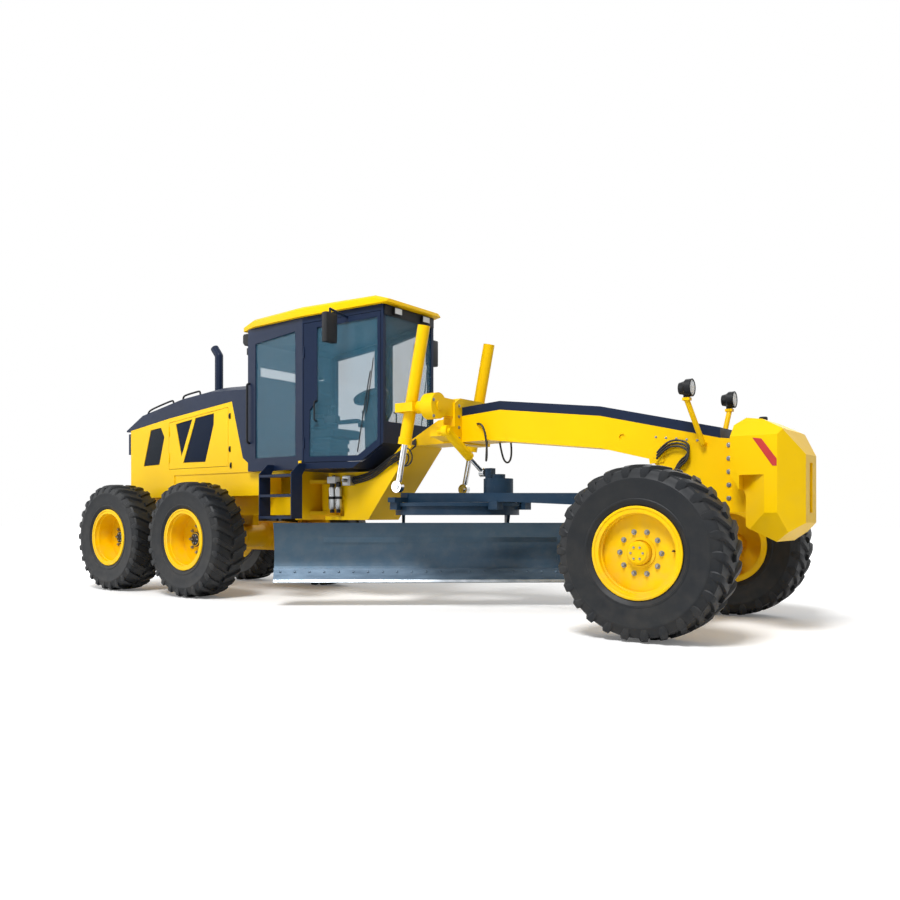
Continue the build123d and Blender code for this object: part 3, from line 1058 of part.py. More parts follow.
gearbox = rod((GEARBOX_X, 0, DRAWBAR_BOTTOM_Z), (GEARBOX_X, 0, GEARBOX_TOP_Z), GEARBOX_RADIUS)
gearbox_cap = rod((GEARBOX_X, 0, GEARBOX_TOP_Z), (GEARBOX_X, 0, GEARBOX_TOP_Z + 45), 70)
pinion_x = CIRCLE_X + CIRCLE_INNER_RADIUS - PINION_RADIUS - MOVING_GAP
pinion = rod((pinion_x, 0, TOOTH_TOP_Z - 50), (pinion_x, 0, DRAWBAR_BOTTOM_Z + 5), PINION_RADIUS)
eye_x, eye_y, eye_z = SHIFT_EYE
shift_post = box((eye_x + 52, GEARBOX_X - 60), (eye_y - 40, eye_y + 40), (DRAWBAR_BOTTOM_Z, eye_z + 40))
drawbar = fused(drawbar, gearbox_plate, gearbox, gearbox_cap, pinion, shift_post)

# Circle: a ring with an upper lip, hung in four shoes of the drawbar
ring_profile = [
    (CIRCLE_INNER_RADIUS, CIRCLE_BOTTOM_Z),
    (CIRCLE_RADIUS - 30, CIRCLE_BOTTOM_Z),
    (CIRCLE_RADIUS - 30, CIRCLE_TOP_Z - CIRCLE_LIP),
    (CIRCLE_RADIUS, CIRCLE_TOP_Z - CIRCLE_LIP),
    (CIRCLE_RADIUS, CIRCLE_TOP_Z),
    (CIRCLE_INNER_RADIUS, CIRCLE_TOP_Z),
]
ring = turned(ring_profile, (CIRCLE_X, 0, 0), (0, 0, 1))
notch_ends = (CIRCLE_X + CIRCLE_INNER_RADIUS - 5, CIRCLE_X + CIRCLE_INNER_RADIUS + TOOTH_DEPTH)
notch_plan = [(notch_ends[0], -20), (notch_ends[1], -11), (notch_ends[1], 11), (notch_ends[0], 20)]
notch = slab_xy(notch_plan, (CIRCLE_BOTTOM_Z - 5, TOOTH_TOP_Z))
circle_axis = Axis((CIRCLE_X, 0, 0), (0, 0, 1))
ring = ring.cut(*[notch.rotate(circle_axis, 360 * index / TOOTH_COUNT) for index in range(TOOTH_COUNT)])
ring_space = turned(
    [
        (CIRCLE_INNER_RADIUS - 40, 0),
        (CIRCLE_RADIUS - 30 + MOVING_GAP, 0),
        (CIRCLE_RADIUS - 30 + MOVING_GAP, CIRCLE_TOP_Z - CIRCLE_LIP - SEAT_GAP),
        (CIRCLE_RADIUS + SLIDE_GAP, CIRCLE_TOP_Z - CIRCLE_LIP - SEAT_GAP),
        (CIRCLE_RADIUS + SLIDE_GAP, CIRCLE_TOP_Z + SEAT_GAP),
        (CIRCLE_INNER_RADIUS - 40, CIRCLE_TOP_Z + SEAT_GAP),
    ],
    (CIRCLE_X, 0, 0),
    (0, 0, 1),
)
shoe_levels = (CIRCLE_TOP_Z - CIRCLE_LIP - 35, DRAWBAR_BOTTOM_Z + 10)
rear_shoe_y = sqrt(CIRCLE_RADIUS ** 2 - (CIRCLE_X - CROSS_X) ** 2)
rear_shoe = box((CROSS_X - CROSS_HALF_X, CROSS_X + CROSS_HALF_X), (-rear_shoe_y - 70, -rear_shoe_y + 25), shoe_levels)
front_shoe = box((1400, 1500), (-330, -210), shoe_levels)
for piece in (rear_shoe, front_shoe):
    trimmed = piece - ring_space
    drawbar = fused(drawbar, trimmed, mirrored(trimmed))
save(drawbar, "drawbar")

# Frame of the blade: x runs along it to the left front, y points behind it
blade_cos = cos(radians(BLADE_ANGLE))
blade_sin = sin(radians(BLADE_ANGLE))
BLADE_PLACE = Location(Plane((BLADE_CENTRE[0], BLADE_CENTRE[1], 0), x_dir=(blade_cos, blade_sin, 0), z_dir=(0, 0, 1)))
circle_dx = CIRCLE_X - BLADE_CENTRE[0]
circle_dy = -BLADE_CENTRE[1]
circle_local_x = circle_dx * blade_cos + circle_dy * blade_sin
circle_local_y = -circle_dx * blade_sin + circle_dy * blade_cos

# Circle's two arms down to the blade's tip pins
chord = sqrt((CIRCLE_RADIUS - 30) ** 2 - ARM_OFFSET ** 2)
arm_outline = [
    (circle_local_y + 60, CIRCLE_BOTTOM_Z + 20),
    (circle_local_y + chord - 40, CIRCLE_BOTTOM_Z + 20),
    (circle_local_y + chord - 40, 800),
    (TIP_Y + 56, TIP_Z),
    (TIP_Y - 56, TIP_Z),
    (TIP_Y - 30, 420),
    (TIP_Y + 42, 460),
    (TIP_Y + 42, 700),
    (circle_local_y + 160, 860),
]
circle = ring
for offset in (-ARM_OFFSET, ARM_OFFSET):
    low = circle_local_x + offset - ARM_PLATE / 2
    high = circle_local_x + offset + ARM_PLATE / 2
    arm_plate = slab_yz(arm_outline, (low, high))
    arm_eye = rod((low, TIP_Y, TIP_Z), (high, TIP_Y, TIP_Z), 56)
    arm_bore = rod((low - 5, TIP_Y, TIP_Z), (high + 5, TIP_Y, TIP_Z), TIP_PIN_RADIUS + PIN_FIT)
    circle = circle + (fused(arm_plate, arm_eye) - arm_bore).moved(BLADE_PLACE)
save(circle, "circle")


# Moldboard: a curved plate with two guide rails behind it
def arc_face(offset):
    """Points on the front face of the moldboard, moved back by an offset: foot, knee, middle, top."""
    return [(50 + offset, 320), (88 + offset, 420), (115 + offset, 565), (0 + offset, BLADE_TOP_Z)]


def moldboard_plate():
    """Curved plate, straight at the foot and an arc above it."""
    front = [Vector(-BLADE_HALF, y, z) for y, z in arc_face(0)]
    back = [Vector(-BLADE_HALF, y, z) for y, z in arc_face(BLADE_SHELL)]
    edges = [
        Edge.make_line(front[0], front[1]),
        Edge.make_three_point_arc(front[1], front[2], front[3]),
        Edge.make_line(front[3], back[3]),
        Edge.make_three_point_arc(back[3], back[2], back[1]),
        Edge.make_line(back[1], back[0]),
        Edge.make_line(back[0], front[0]),
    ]
    return Solid.extrude(Face(Wire(edges)), Vector(2 * BLADE_HALF, 0, 0))


LOWER_RAIL_Z = 345.0
UPPER_RAIL_Z = 700.0
RAIL_HALF = 28.0
RAIL_BACK_Y = 172.0
RAIL_X = (-1310.0, 1160.0)
SHIFT_ROD_Z = 520.0
SHIFT_ROD_Y = 200.0
ROD_RADIUS = 25.0
ROD_FOOT_X = 1190.0
plate = moldboard_plate()
rails = []
for rail_z in (LOWER_RAIL_Z, UPPER_RAIL_Z):
    rails.append(box(RAIL_X, (90, RAIL_BACK_Y), (rail_z - RAIL_HALF, rail_z + RAIL_HALF)) - plate)
rod_foot = box((ROD_FOOT_X - 20, ROD_FOOT_X + 20), (100, SHIFT_ROD_Y + 35), (SHIFT_ROD_Z - 40, SHIFT_ROD_Z + 40)) - plate
in_front = slab_yz([(-200, 0), (50, 320), (88, 420), (115, 565), (60, 760), (-200, 760)], (-2000, 2000))
rails = [rail - in_front for rail in rails]
rod_foot = rod_foot - in_front
shift_rod = rod((-95, SHIFT_ROD_Y, SHIFT_ROD_Z), (ROD_FOOT_X, SHIFT_ROD_Y, SHIFT_ROD_Z), ROD_RADIUS)
moldboard = fused(plate, rails[0], rails[1], rod_foot, shift_rod)
save(moldboard.moved(BLADE_PLACE), "moldboard")

# Cutting edge: a flat bar in front of the moldboard's foot
edge_slope = (88 - 50) / (420 - 320)
edge_foot_y = 50 - edge_slope * (320 - BLADE_BOTTOM_Z)
edge_top_y = 50 + edge_slope * (EDGE_TOP_Z - 320)
edge_outline = [
    (edge_foot_y, BLADE_BOTTOM_Z),
    (edge_top_y, EDGE_TOP_Z),
    (edge_top_y - EDGE_THICKNESS, EDGE_TOP_Z),
    (edge_foot_y - EDGE_THICKNESS, BLADE_BOTTOM_Z + 8),
]
save(slab_yz(edge_outline, (-BLADE_HALF, BLADE_HALF)).moved(BLADE_PLACE), "cutting_edge")

# Blade carrier: two brackets that grip the rails, a tube between them and the shift barrel
JAW = 25.0
bracket_y = (RAIL_BACK_Y + SLIDE_GAP, RAIL_BACK_Y + SLIDE_GAP + 30)
carrier = None
for offset in (-ARM_OFFSET, ARM_OFFSET):
    inward = -1 if offset > 0 else 1
    arm_face = circle_local_x + offset + inward * ARM_PLATE / 2
    near = arm_face + inward * MOVING_GAP
    far = near + inward * 70
    x = (min(near, far), max(near, far))
    spine = box(x, bracket_y, (LOWER_RAIL_Z - RAIL_HALF - SLIDE_GAP - JAW, UPPER_RAIL_Z + RAIL_HALF + SLIDE_GAP + JAW))
    bracket = spine
    for rail_z in (LOWER_RAIL_Z, UPPER_RAIL_Z):
        for sign in (-1, 1):
            inner = rail_z + sign * (RAIL_HALF + SLIDE_GAP)
            outer = inner + sign * JAW
            jaw = box(x, (RAIL_BACK_Y - 30, bracket_y[1]), (min(inner, outer), max(inner, outer)))
            bracket = bracket + jaw
    ear = box(x, (bracket_y[0], TIP_Y + 40), (TIP_Z - 45, TIP_Z + 45))
    pin_end = arm_face - inward * (ARM_PLATE + 6)
    pin = rod((far, TIP_Y, TIP_Z), (pin_end, TIP_Y, TIP_Z), TIP_PIN_RADIUS)
    bracket = fused(bracket, ear, pin)
    carrier = bracket if carrier is None else carrier + bracket
BARREL_X = (circle_local_x - ARM_OFFSET - 180, circle_local_x + ARM_OFFSET - 20)
barrel = rod((BARREL_X[0], SHIFT_ROD_Y, SHIFT_ROD_Z), (BARREL_X[1], SHIFT_ROD_Y, SHIFT_ROD_Z), 45)
TUBE_X = (circle_local_x - ARM_OFFSET + 30, circle_local_x + ARM_OFFSET - 30)
carrier_tube = box(TUBE_X, (bracket_y[0], bracket_y[0] + 60), (TIP_Z + 60, TIP_Z + 110))
carrier = fused(carrier, barrel, carrier_tube)
carrier = carrier - rod((BARREL_X[0] + 20, SHIFT_ROD_Y, SHIFT_ROD_Z), (2000, SHIFT_ROD_Y, SHIFT_ROD_Z), ROD_RADIUS + PIN_FIT)
save(carrier.moved(BLADE_PLACE), "blade_carrier")


# Lift cylinders
STUD = (CROSS_X + 5, -STUD_Y, STUD_Z)


def make_yoke():
    """Right yoke: a ring around the barrel, on a pin in the saddle's bearing."""
    ring_x = (tx - 110, tx + 110)
    ring = box(ring_x, (ty - 115, ty + 115), (tz - 45, tz + 45))
    ring = ring - box((tx - 85, tx + 85), (ty - 80, ty + 80), (tz - 60, tz + 60))
    pin = rod((ring_x[1] - 10, ty, tz), (SADDLE_FRONT_X + 12, ty, tz), YOKE_PIN_RADIUS)
    collar = rod((ring_x[1] - 10, ty, tz), (SADDLE_BACK_X - SLIDE_GAP, ty, tz), YOKE_PIN_RADIUS + 22)
    bore = rod((tx, ty - 130, tz), (tx, ty + 130, tz), TRUNNION_RADIUS + PIN_FIT)
    return fused(ring, pin, collar) - bore


def make_lift_barrel():
    """Right lift barrel with its trunnion pins, a blind bore and a gland at its lower end."""
    top = along(TRUNNION, STUD, -LIFT_ABOVE)
    bottom = along(TRUNNION, STUD, LIFT_BELOW)
    barrel = rod(top, bottom, LIFT_BARREL_RADIUS)
    barrel = barrel + rod(along(TRUNNION, STUD, LIFT_BELOW - 70), bottom, LIFT_BARREL_RADIUS + 9)
    pins = rod((tx, ty - 113, tz), (tx, ty + 113, tz), TRUNNION_RADIUS)
    bore = rod(along(TRUNNION, STUD, -LIFT_ABOVE + 40), along(TRUNNION, STUD, LIFT_BELOW - LIFT_GLAND), LIFT_BORE_RADIUS)
    gland = rod(TRUNNION, along(TRUNNION, STUD, LIFT_BELOW + 10), LIFT_ROD_RADIUS + PIN_FIT)
    return barrel + pins - bore - gland


def make_lift_rod():
    """Right lift rod with its piston, its eye and the pin through it, over the drawbar's outrigger."""
    head = along(TRUNNION, STUD, -LIFT_ROD_INSIDE)
    shaft = rod(head, along(TRUNNION, STUD, stud_distance - 30), LIFT_ROD_RADIUS)
    piston = rod(head, along(TRUNNION, STUD, -LIFT_ROD_INSIDE + 70), LIFT_BORE_RADIUS - PIN_FIT)
    eye = rod((STUD[0], STUD[1] - EYE_WIDTH / 2, STUD[2]), (STUD[0], STUD[1] + EYE_WIDTH / 2, STUD[2]), EYE_RADIUS)
    pin = rod((STUD[0], STUD[1] - 45, STUD[2]), (STUD[0], STUD[1] + 45, STUD[2]), STUD_RADIUS)
    return fused(shaft, piston, eye, pin)


stud_distance = (Vector(*STUD) - Vector(*TRUNNION)).length
for name, piece in (("lift_yoke", make_yoke()), ("lift_barrel", make_lift_barrel()), ("lift_rod", make_lift_rod())):
    save(piece, f"{name}_right")
    save(mirrored(piece), f"{name}_left")

# Cylinder that shifts the drawbar sideways, from the saddle to the post behind the gearbox
shift_length = (Vector(*SHIFT_EYE) - Vector(*SHIFT_TOP)).length
SHIFT_BARREL_LENGTH = 430.0
SHIFT_ROD_START = 225.0
barrel = rod(SHIFT_TOP, along(SHIFT_TOP, SHIFT_EYE, SHIFT_BARREL_LENGTH), SHIFT_BARREL_RADIUS)
top_eye = rod((shift_x - 30, shift_y, shift_z), (shift_x + 30, shift_y, shift_z), SHIFT_BARREL_RADIUS + 8)
barrel = barrel + top_eye
barrel = barrel - rod((shift_x - 90, shift_y, shift_z), (shift_x + 90, shift_y, shift_z), SHIFT_PIN_RADIUS + PIN_FIT)
shift_bore = rod(
    along(SHIFT_TOP, SHIFT_EYE, 55), along(SHIFT_TOP, SHIFT_EYE, SHIFT_BARREL_LENGTH + 10), SHIFT_ROD_RADIUS + PIN_FIT
)
save(barrel - shift_bore, "shift_barrel")
shaft = rod(along(SHIFT_TOP, SHIFT_EYE, SHIFT_ROD_START), along(SHIFT_TOP, SHIFT_EYE, shift_length - 20), SHIFT_ROD_RADIUS)
eye = rod((eye_x - 28, eye_y, eye_z), (eye_x + 28, eye_y, eye_z), 46)
eye_pin = rod((eye_x - 36, eye_y, eye_z), (eye_x, eye_y, eye_z), SHIFT_PIN_RADIUS)
save(fused(shaft, eye, eye_pin), "shift_rod")
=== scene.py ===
"""Looks of the motor grader: camera, light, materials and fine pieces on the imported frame.

Places are written in millimetres, in the part's own drawing frame, and mm() turns them into metres of the
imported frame, whose origin is under the middle of the machine.
"""

import json
from math import cos, exp, pi, radians, sin

import bmesh
import bpy
from mathutils import Matrix, Vector


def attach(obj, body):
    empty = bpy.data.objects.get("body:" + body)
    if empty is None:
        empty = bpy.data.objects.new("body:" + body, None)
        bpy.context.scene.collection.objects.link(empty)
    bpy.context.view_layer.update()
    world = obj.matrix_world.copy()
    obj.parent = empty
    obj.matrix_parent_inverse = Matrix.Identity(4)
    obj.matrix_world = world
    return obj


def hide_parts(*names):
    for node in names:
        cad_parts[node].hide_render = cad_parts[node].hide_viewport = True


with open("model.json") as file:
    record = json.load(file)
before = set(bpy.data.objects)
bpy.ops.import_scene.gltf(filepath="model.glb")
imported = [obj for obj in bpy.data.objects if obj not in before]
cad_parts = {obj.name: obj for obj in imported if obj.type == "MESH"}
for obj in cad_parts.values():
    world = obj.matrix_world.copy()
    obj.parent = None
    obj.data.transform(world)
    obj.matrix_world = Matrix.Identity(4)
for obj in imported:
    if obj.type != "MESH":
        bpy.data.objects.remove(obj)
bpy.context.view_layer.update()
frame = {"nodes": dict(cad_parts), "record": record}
NODES = frame["nodes"]
SHIFT_X = 77.0
AXLE_Z = 675.0
TRACK_HALF = 1075.0
AXLE_X = {"front": 3310.0, "mid": -2181.0, "rear": -3719.0}
SIDES = (("right", -1), ("left", 1))
UP = (0, 0, 1)


def mm(x, y, z):
    """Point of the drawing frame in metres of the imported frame."""
    return Vector(((x + SHIFT_X) / 1000, y / 1000, z / 1000))


# Camera at the photograph's place
camera_data = bpy.data.cameras.new("camera")
camera_data.sensor_width = 36.0
camera_data.lens = 33.64
camera_data.shift_x = 0.0556
camera_data.shift_y = 0.0718
camera = bpy.data.objects.new("camera", camera_data)
camera.location = (5.947, -7.31, 0.965)
camera.rotation_euler = (radians(90), 0, radians(38.63))
bpy.context.scene.collection.objects.link(camera)
bpy.context.scene.camera = camera
bpy.context.scene.view_settings.view_transform = "Standard"


# Materials
SHADE_SHARE = 0.82
COAT_ROUGHNESS = 0.12
RELIEF_DEPTH = 0.002
SMOOTHER = 0.07
ROUGHER = 0.09
SMOOTHEST = 0.02
PATCH_LEVELS = (0.35, 0.7)
SPOT_LEVELS = (0.4, 0.75)
SCUFF_LEVELS = (0.66, 0.72)
DUST_HEIGHTS = (0.15, 1.5)
DUST_COLOR = (0.30, 0.26, 0.21)
SCUFF_COLOR = (0.16, 0.16, 0.16)


def add_node(tree, kind, **inputs):
    """Shader node with values or links for its inputs, given by name or as i0, i1."""
    node = tree.nodes.new(kind)
    for key, value in inputs.items():
        by_index = key[0] == "i" and key[1:].isdigit()
        socket = node.inputs[int(key[1:]) if by_index else key.replace("_", " ")]
        if isinstance(value, bpy.types.NodeSocket):
            tree.links.new(value, socket)
        else:
            socket.default_value = value
    return node


def noise(tree, scale, detail, stretch=(1, 1, 1)):
    """Noise in the frame's own coordinates."""
    place = tree.nodes.new("ShaderNodeTexCoord").outputs["Object"]
    mapping = add_node(tree, "ShaderNodeMapping", Vector=place, Scale=stretch)
    made = add_node(tree, "ShaderNodeTexNoise", Vector=mapping.outputs[0], Scale=scale, Detail=detail)
    return made.outputs["Fac"]


def ramp(tree, value, low, high):
    """Value mapped from low..high to 0..1, and held there."""
    node = tree.nodes.new("ShaderNodeMapRange")
    node.clamp = True
    node.inputs["From Min"].default_value = low
    node.inputs["From Max"].default_value = high
    tree.links.new(value, node.inputs["Value"])
    return node.outputs["Result"]


def mix_color(tree, factor, first, second):
    """Colour mixed by a factor."""
    node = tree.nodes.new("ShaderNodeMix")
    node.data_type = "RGBA"
    for index, value in ((0, factor), (6, first), (7, second)):
        if isinstance(value, bpy.types.NodeSocket):
            tree.links.new(value, node.inputs[index])
        else:
            node.inputs[index].default_value = value if index == 0 else (*value, 1)
    return node.outputs[2]


def height_factor(tree, low, high):
    """1 at the height low or under it, 0 at high or over it."""
    place = tree.nodes.new("ShaderNodeTexCoord").outputs["Object"]
    parts = tree.nodes.new("ShaderNodeSeparateXYZ")
    tree.links.new(place, parts.inputs[0])
    return ramp(tree, parts.outputs["Z"], high, low)


def make_material(name, color, roughness, metallic=0.0, coat=0.0, shade=None, scale=1.5, bump=0.0,
                  bump_scale=120.0, dust=0.0, wear=0.0, stretch=(1, 1, 1), spec=0.5):
    """Paint, metal or rubber with broad colour variation, fine bump, dust low down and small scuffs."""
    made = bpy.data.materials.new(name)
    made.use_nodes = True
    tree = made.node_tree
    shader = tree.nodes["Principled BSDF"]
    shader.inputs["Metallic"].default_value = metallic
    shader.inputs["Coat Weight"].default_value = coat
    shader.inputs["Coat Roughness"].default_value = COAT_ROUGHNESS
    shader.inputs["Specular IOR Level"].default_value = spec
    shade = shade or tuple(part * SHADE_SHARE for part in color)
    base = mix_color(tree, ramp(tree, noise(tree, scale, 3.0, stretch), *PATCH_LEVELS), color, shade)
    if dust:
        spots = ramp(tree, noise(tree, 9.0, 6.0), *SPOT_LEVELS)
        factor = add_node(tree, "ShaderNodeMath", i0=spots, i1=height_factor(tree, *DUST_HEIGHTS))
        factor.operation = "MULTIPLY"
        amount = add_node(tree, "ShaderNodeMath", i0=factor.outputs[0], i1=dust)
        amount.operation = "MULTIPLY"
        base = mix_color(tree, amount.outputs[0], base, DUST_COLOR)
    if wear:
        scuffs = ramp(tree, noise(tree, 45.0, 8.0), *SCUFF_LEVELS)
        amount = add_node(tree, "ShaderNodeMath", i0=scuffs, i1=wear)
        amount.operation = "MULTIPLY"
        base = mix_color(tree, amount.outputs[0], base, SCUFF_COLOR)
    tree.links.new(base, shader.inputs["Base Color"])
    rough = tree.nodes.new("ShaderNodeMapRange")
    rough.inputs["To Min"].default_value = max(roughness - SMOOTHER, SMOOTHEST)
    rough.inputs["To Max"].default_value = roughness + ROUGHER
    tree.links.new(noise(tree, 14.0, 5.0, stretch), rough.inputs["Value"])
    tree.links.new(rough.outputs["Result"], shader.inputs["Roughness"])
    if bump:
        relief = add_node(tree, "ShaderNodeBump", Height=noise(tree, bump_scale, 3.0, stretch), Strength=bump)
        relief.inputs["Distance"].default_value = RELIEF_DEPTH
        tree.links.new(relief.outputs[0], shader.inputs["Normal"])
    return made


def make_glass(name, tint, roughness, alpha):
    """Tinted pane: mostly clear, with reflections from the shader."""
    made = bpy.data.materials.new(name)
    made.use_nodes = True
    tree = made.node_tree
    shader = tree.nodes["Principled BSDF"]
    shader.inputs["Roughness"].default_value = roughness
    shader.inputs["IOR"].default_value = 1.5
    shader.inputs["Alpha"].default_value = alpha
    deeper = tuple(part * 0.9 for part in tint)
    haze = mix_color(tree, ramp(tree, noise(tree, 2.5, 3.0), *PATCH_LEVELS), tint, deeper)
    tree.links.new(haze, shader.inputs["Base Color"])
    return made


def make_perforated(name, sheet, hole_shade):
    """Painted sheet with rows of small dark holes: their near-black colour is painted shade of the space
    behind the sheet.
    """
    made = bpy.data.materials.new(name)
    made.use_nodes = True
    tree = made.node_tree
    shader = tree.nodes["Principled BSDF"]
    shader.inputs["Roughness"].default_value = 0.6
    shader.inputs["Specular IOR Level"].default_value = 0.1
    place = tree.nodes.new("ShaderNodeTexCoord").outputs["Object"]
    cells = add_node(tree, "ShaderNodeTexVoronoi", Vector=place, Scale=90.0, Randomness=0.0)
    solid = ramp(tree, cells.outputs["Distance"], 0.28, 0.36)
    tree.links.new(mix_color(tree, solid, hole_shade, sheet), shader.inputs["Base Color"])
    relief = add_node(tree, "ShaderNodeBump", Height=solid, Strength=0.5)
    relief.inputs["Distance"].default_value = RELIEF_DEPTH
    tree.links.new(relief.outputs[0], shader.inputs["Normal"])
    return made


YELLOW = (0.92, 0.575, 0.0)
MATERIALS = {
    "yellow": make_material("yellow_paint", YELLOW, 0.38, shade=(0.85, 0.51, 0.0), scale=0.9,
                            bump=0.05, bump_scale=260.0, dust=0.10, wear=0.08, spec=0.15),
    "navy": make_material("navy_paint", (0.005, 0.014, 0.042), 0.42, scale=1.4, bump=0.06, bump_scale=240.0,
                          dust=0.06, spec=0.2),
    "teal_navy": make_material("teal_navy_paint", (0.008, 0.030, 0.062), 0.42, scale=1.8, bump=0.08,
                               bump_scale=180.0, dust=0.10, wear=0.15, spec=0.2),
    "black_metal": make_material("black_paint", (0.008, 0.009, 0.011), 0.42, bump=0.06, dust=0.08, spec=0.25),
    "blade_steel": make_material("blade_steel", (0.045, 0.085, 0.125), 0.34, metallic=0.55, coat=0.1,
                                 shade=(0.025, 0.055, 0.095), scale=0.8, bump=0.12, bump_scale=70.0,
                                 stretch=(0.35, 0.35, 2.5), dust=0.12, wear=0.15),
    "edge_steel": make_material("edge_steel", (0.065, 0.10, 0.14), 0.36, metallic=0.6,
                                shade=(0.035, 0.06, 0.09), scale=4.0, bump=0.15, bump_scale=60.0,
                                stretch=(1, 1, 5), wear=0.3),
    "chrome": make_material("rod_chrome", (0.78, 0.79, 0.80), 0.10, metallic=1.0,
                            shade=(0.62, 0.64, 0.66), scale=12.0),
    "tyre": make_material("tyre_rubber", (0.006, 0.008, 0.011), 0.50, shade=(0.013, 0.014, 0.015), scale=3.0,
                          bump=0.12, bump_scale=240.0, dust=0.05, spec=0.3),
    "rim": make_material("rim_paint", YELLOW, 0.38, shade=(0.84, 0.50, 0.0), scale=2.0, bump=0.05,
                         dust=0.22, wear=0.14, spec=0.15),
    "glass": make_glass("cab_glass_tint", (0.07, 0.22, 0.33), 0.02, 0.22),
    "seat": make_material("seat_fabric", (0.02, 0.021, 0.023), 0.85, bump=0.5, bump_scale=500.0, spec=0.2),
    "plastic": make_material("moulded_plastic", (0.009, 0.010, 0.012), 0.5, bump=0.25,
                             bump_scale=420.0, spec=0.25),
    "cast": make_material("cast_metal", (0.05, 0.05, 0.052), 0.6, metallic=0.3, bump=0.4,
                          bump_scale=110.0, dust=0.3),
}
LENS = make_glass("lamp_lens", (0.85, 0.88, 0.9), 0.05, 0.75)
SILVER = make_material("silver_shell", (0.55, 0.57, 0.58), 0.28, metallic=0.85, scale=6.0)
RUBBER = make_material("hose_rubber", (0.012, 0.012, 0.013), 0.5, bump=0.2, bump_scale=300.0)
BOLT = make_material("bolt_steel", (0.30, 0.31, 0.32), 0.38, metallic=0.85, scale=20.0, bump=0.1)
RED = make_material("red_plate", (0.55, 0.02, 0.015), 0.3, coat=0.3, scale=6.0)
WHITE = make_material("white_plate", (0.75, 0.76, 0.76), 0.35, scale=6.0)
# the sheets keep their own dark colour; the near-black holes are painted shade of the space behind them
MESH_DARK = make_perforated("dark_mesh", (0.018, 0.024, 0.034), (0.002, 0.002, 0.003))
PANEL_NAVY = make_perforated("panel_mesh", (0.006, 0.014, 0.036), (0.002, 0.004, 0.009))
# lighter steel for the strip along the blade's cutting edge: a painted highlight
EDGE_HIGHLIGHT = make_material("edge_highlight_steel", (0.50, 0.54, 0.58), 0.30, metallic=0.9,
                       shade=(0.30, 0.34, 0.38), scale=8.0, bump=0.1)
AMBER = make_glass("amber_lens", (0.85, 0.30, 0.02), 0.08, 0.9)
RED_LENS = make_glass("red_lens", (0.60, 0.02, 0.02), 0.08, 0.9)
YELLOW_PAINT = MATERIALS["yellow"]
RIM_PAINT = MATERIALS["rim"]
NAVY = MATERIALS["navy"]
BLACK = MATERIALS["black_metal"]
PLASTIC = MATERIALS["plastic"]

for entry in frame["record"]["subparts"]:
    node = NODES[entry["node"]]
    for index in range(len(node.material_slots)):
        node.material_slots[index].link = "OBJECT"
        node.material_slots[index].material = MATERIALS[entry["material_slot"]]


# Pieces
BEVEL_FROM = 30
HEXAGON = 6
WASHER_SEGMENTS = 12


def add_piece(name, mesh, made, body, angle=35):
    """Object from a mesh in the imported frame, riding on a body."""
    mesh.materials.append(made)
    mesh.polygons.foreach_set("use_smooth", [True] * len(mesh.polygons))
    mesh.set_sharp_from_angle(angle=radians(angle))
    piece = bpy.data.objects.new(name, mesh)
    bpy.context.scene.collection.objects.link(piece)
    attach(piece, body)
    return piece


def mesh_from(bm, name, bevel=0.0):
    """Mesh from a bmesh, with its sharp edges bevelled where a width in metres is given."""
    bmesh.ops.recalc_face_normals(bm, faces=bm.faces)
    if bevel:
        folds = [edge for edge in bm.edges if len(edge.link_faces) == 2]
        sharp = [edge for edge in folds if edge.calc_face_angle(0) > radians(BEVEL_FROM)]
        bmesh.ops.bevel(bm, geom=sharp, offset=bevel, segments=2, profile=0.7, affect="EDGES")
    mesh = bpy.data.meshes.new(name)
    bm.to_mesh(mesh)
    bm.free()
    return mesh


def frame_of(axis):
    """Unit vector along an axis, and two across it."""
    along = Vector(axis).normalized()
    side = Vector((0, 0, 1)) if abs(along.z) < 0.9 else Vector((1, 0, 0))
    first = (side - along * side.dot(along)).normalized()
    return along, first, along.cross(first)


def lathe_into(bm, profile, centre, axis, segments, ring_form=False):
    """Adds a turned form from (radius, distance along the axis) points in millimetres, or a closed ring."""
    along, first, second = frame_of(axis)
    rings = []
    for radius, place in profile:
        ring = []
        for step in range(segments):
            turn = 2 * pi * step / segments
            out = (first * cos(turn) + second * sin(turn)) * (radius / 1000)
            ring.append(bm.verts.new(centre + along * (place / 1000) + out))
        rings.append(ring)
    following = rings[1:] + rings[:1] if ring_form else rings[1:]
    for lower, upper in zip(rings, following):
        for step in range(segments):
            after = (step + 1) % segments
            bm.faces.new((lower[step], lower[after], upper[after], upper[step]))
    if not ring_form:
        bm.faces.new(rings[0])
        bm.faces.new(rings[-1])


def lathe(name, profile, centre, axis, made, body, segments, ring_form=False):
    """Turned piece."""
    bm = bmesh.new()
    lathe_into(bm, profile, centre, axis, segments, ring_form)
    return add_piece(name, mesh_from(bm, name), made, body)


def slab_into(bm, outline, depth):
    """Adds a plate from points in metres, thickened along a vector."""
    front = [bm.verts.new(point) for point in outline]
    back = [bm.verts.new(point + depth) for point in outline]
    bm.faces.new(front)
    bm.faces.new(back[::-1])
    for index in range(len(outline)):
        after = (index + 1) % len(outline)
        bm.faces.new((front[index], front[after], back[after], back[index]))


def slab(name, outline, depth, made, body, bevel):
    """Plate piece."""
    bm = bmesh.new()
    slab_into(bm, outline, depth)
    return add_piece(name, mesh_from(bm, name, bevel), made, body)


def block_into(bm, low, high):
    """Adds a box between two corners in millimetres."""
    (x0, y0, z0), (x1, y1, z1) = low, high
    corners = [mm(x, y, z0) for x, y in ((x0, y0), (x1, y0), (x1, y1), (x0, y1))]
    slab_into(bm, corners, Vector((0, 0, (z1 - z0) / 1000)))


def block(name, low, high, made, body, bevel):
    """Box piece with rounded edges."""
    bm = bmesh.new()
    block_into(bm, low, high)
    return add_piece(name, mesh_from(bm, name, bevel), made, body)


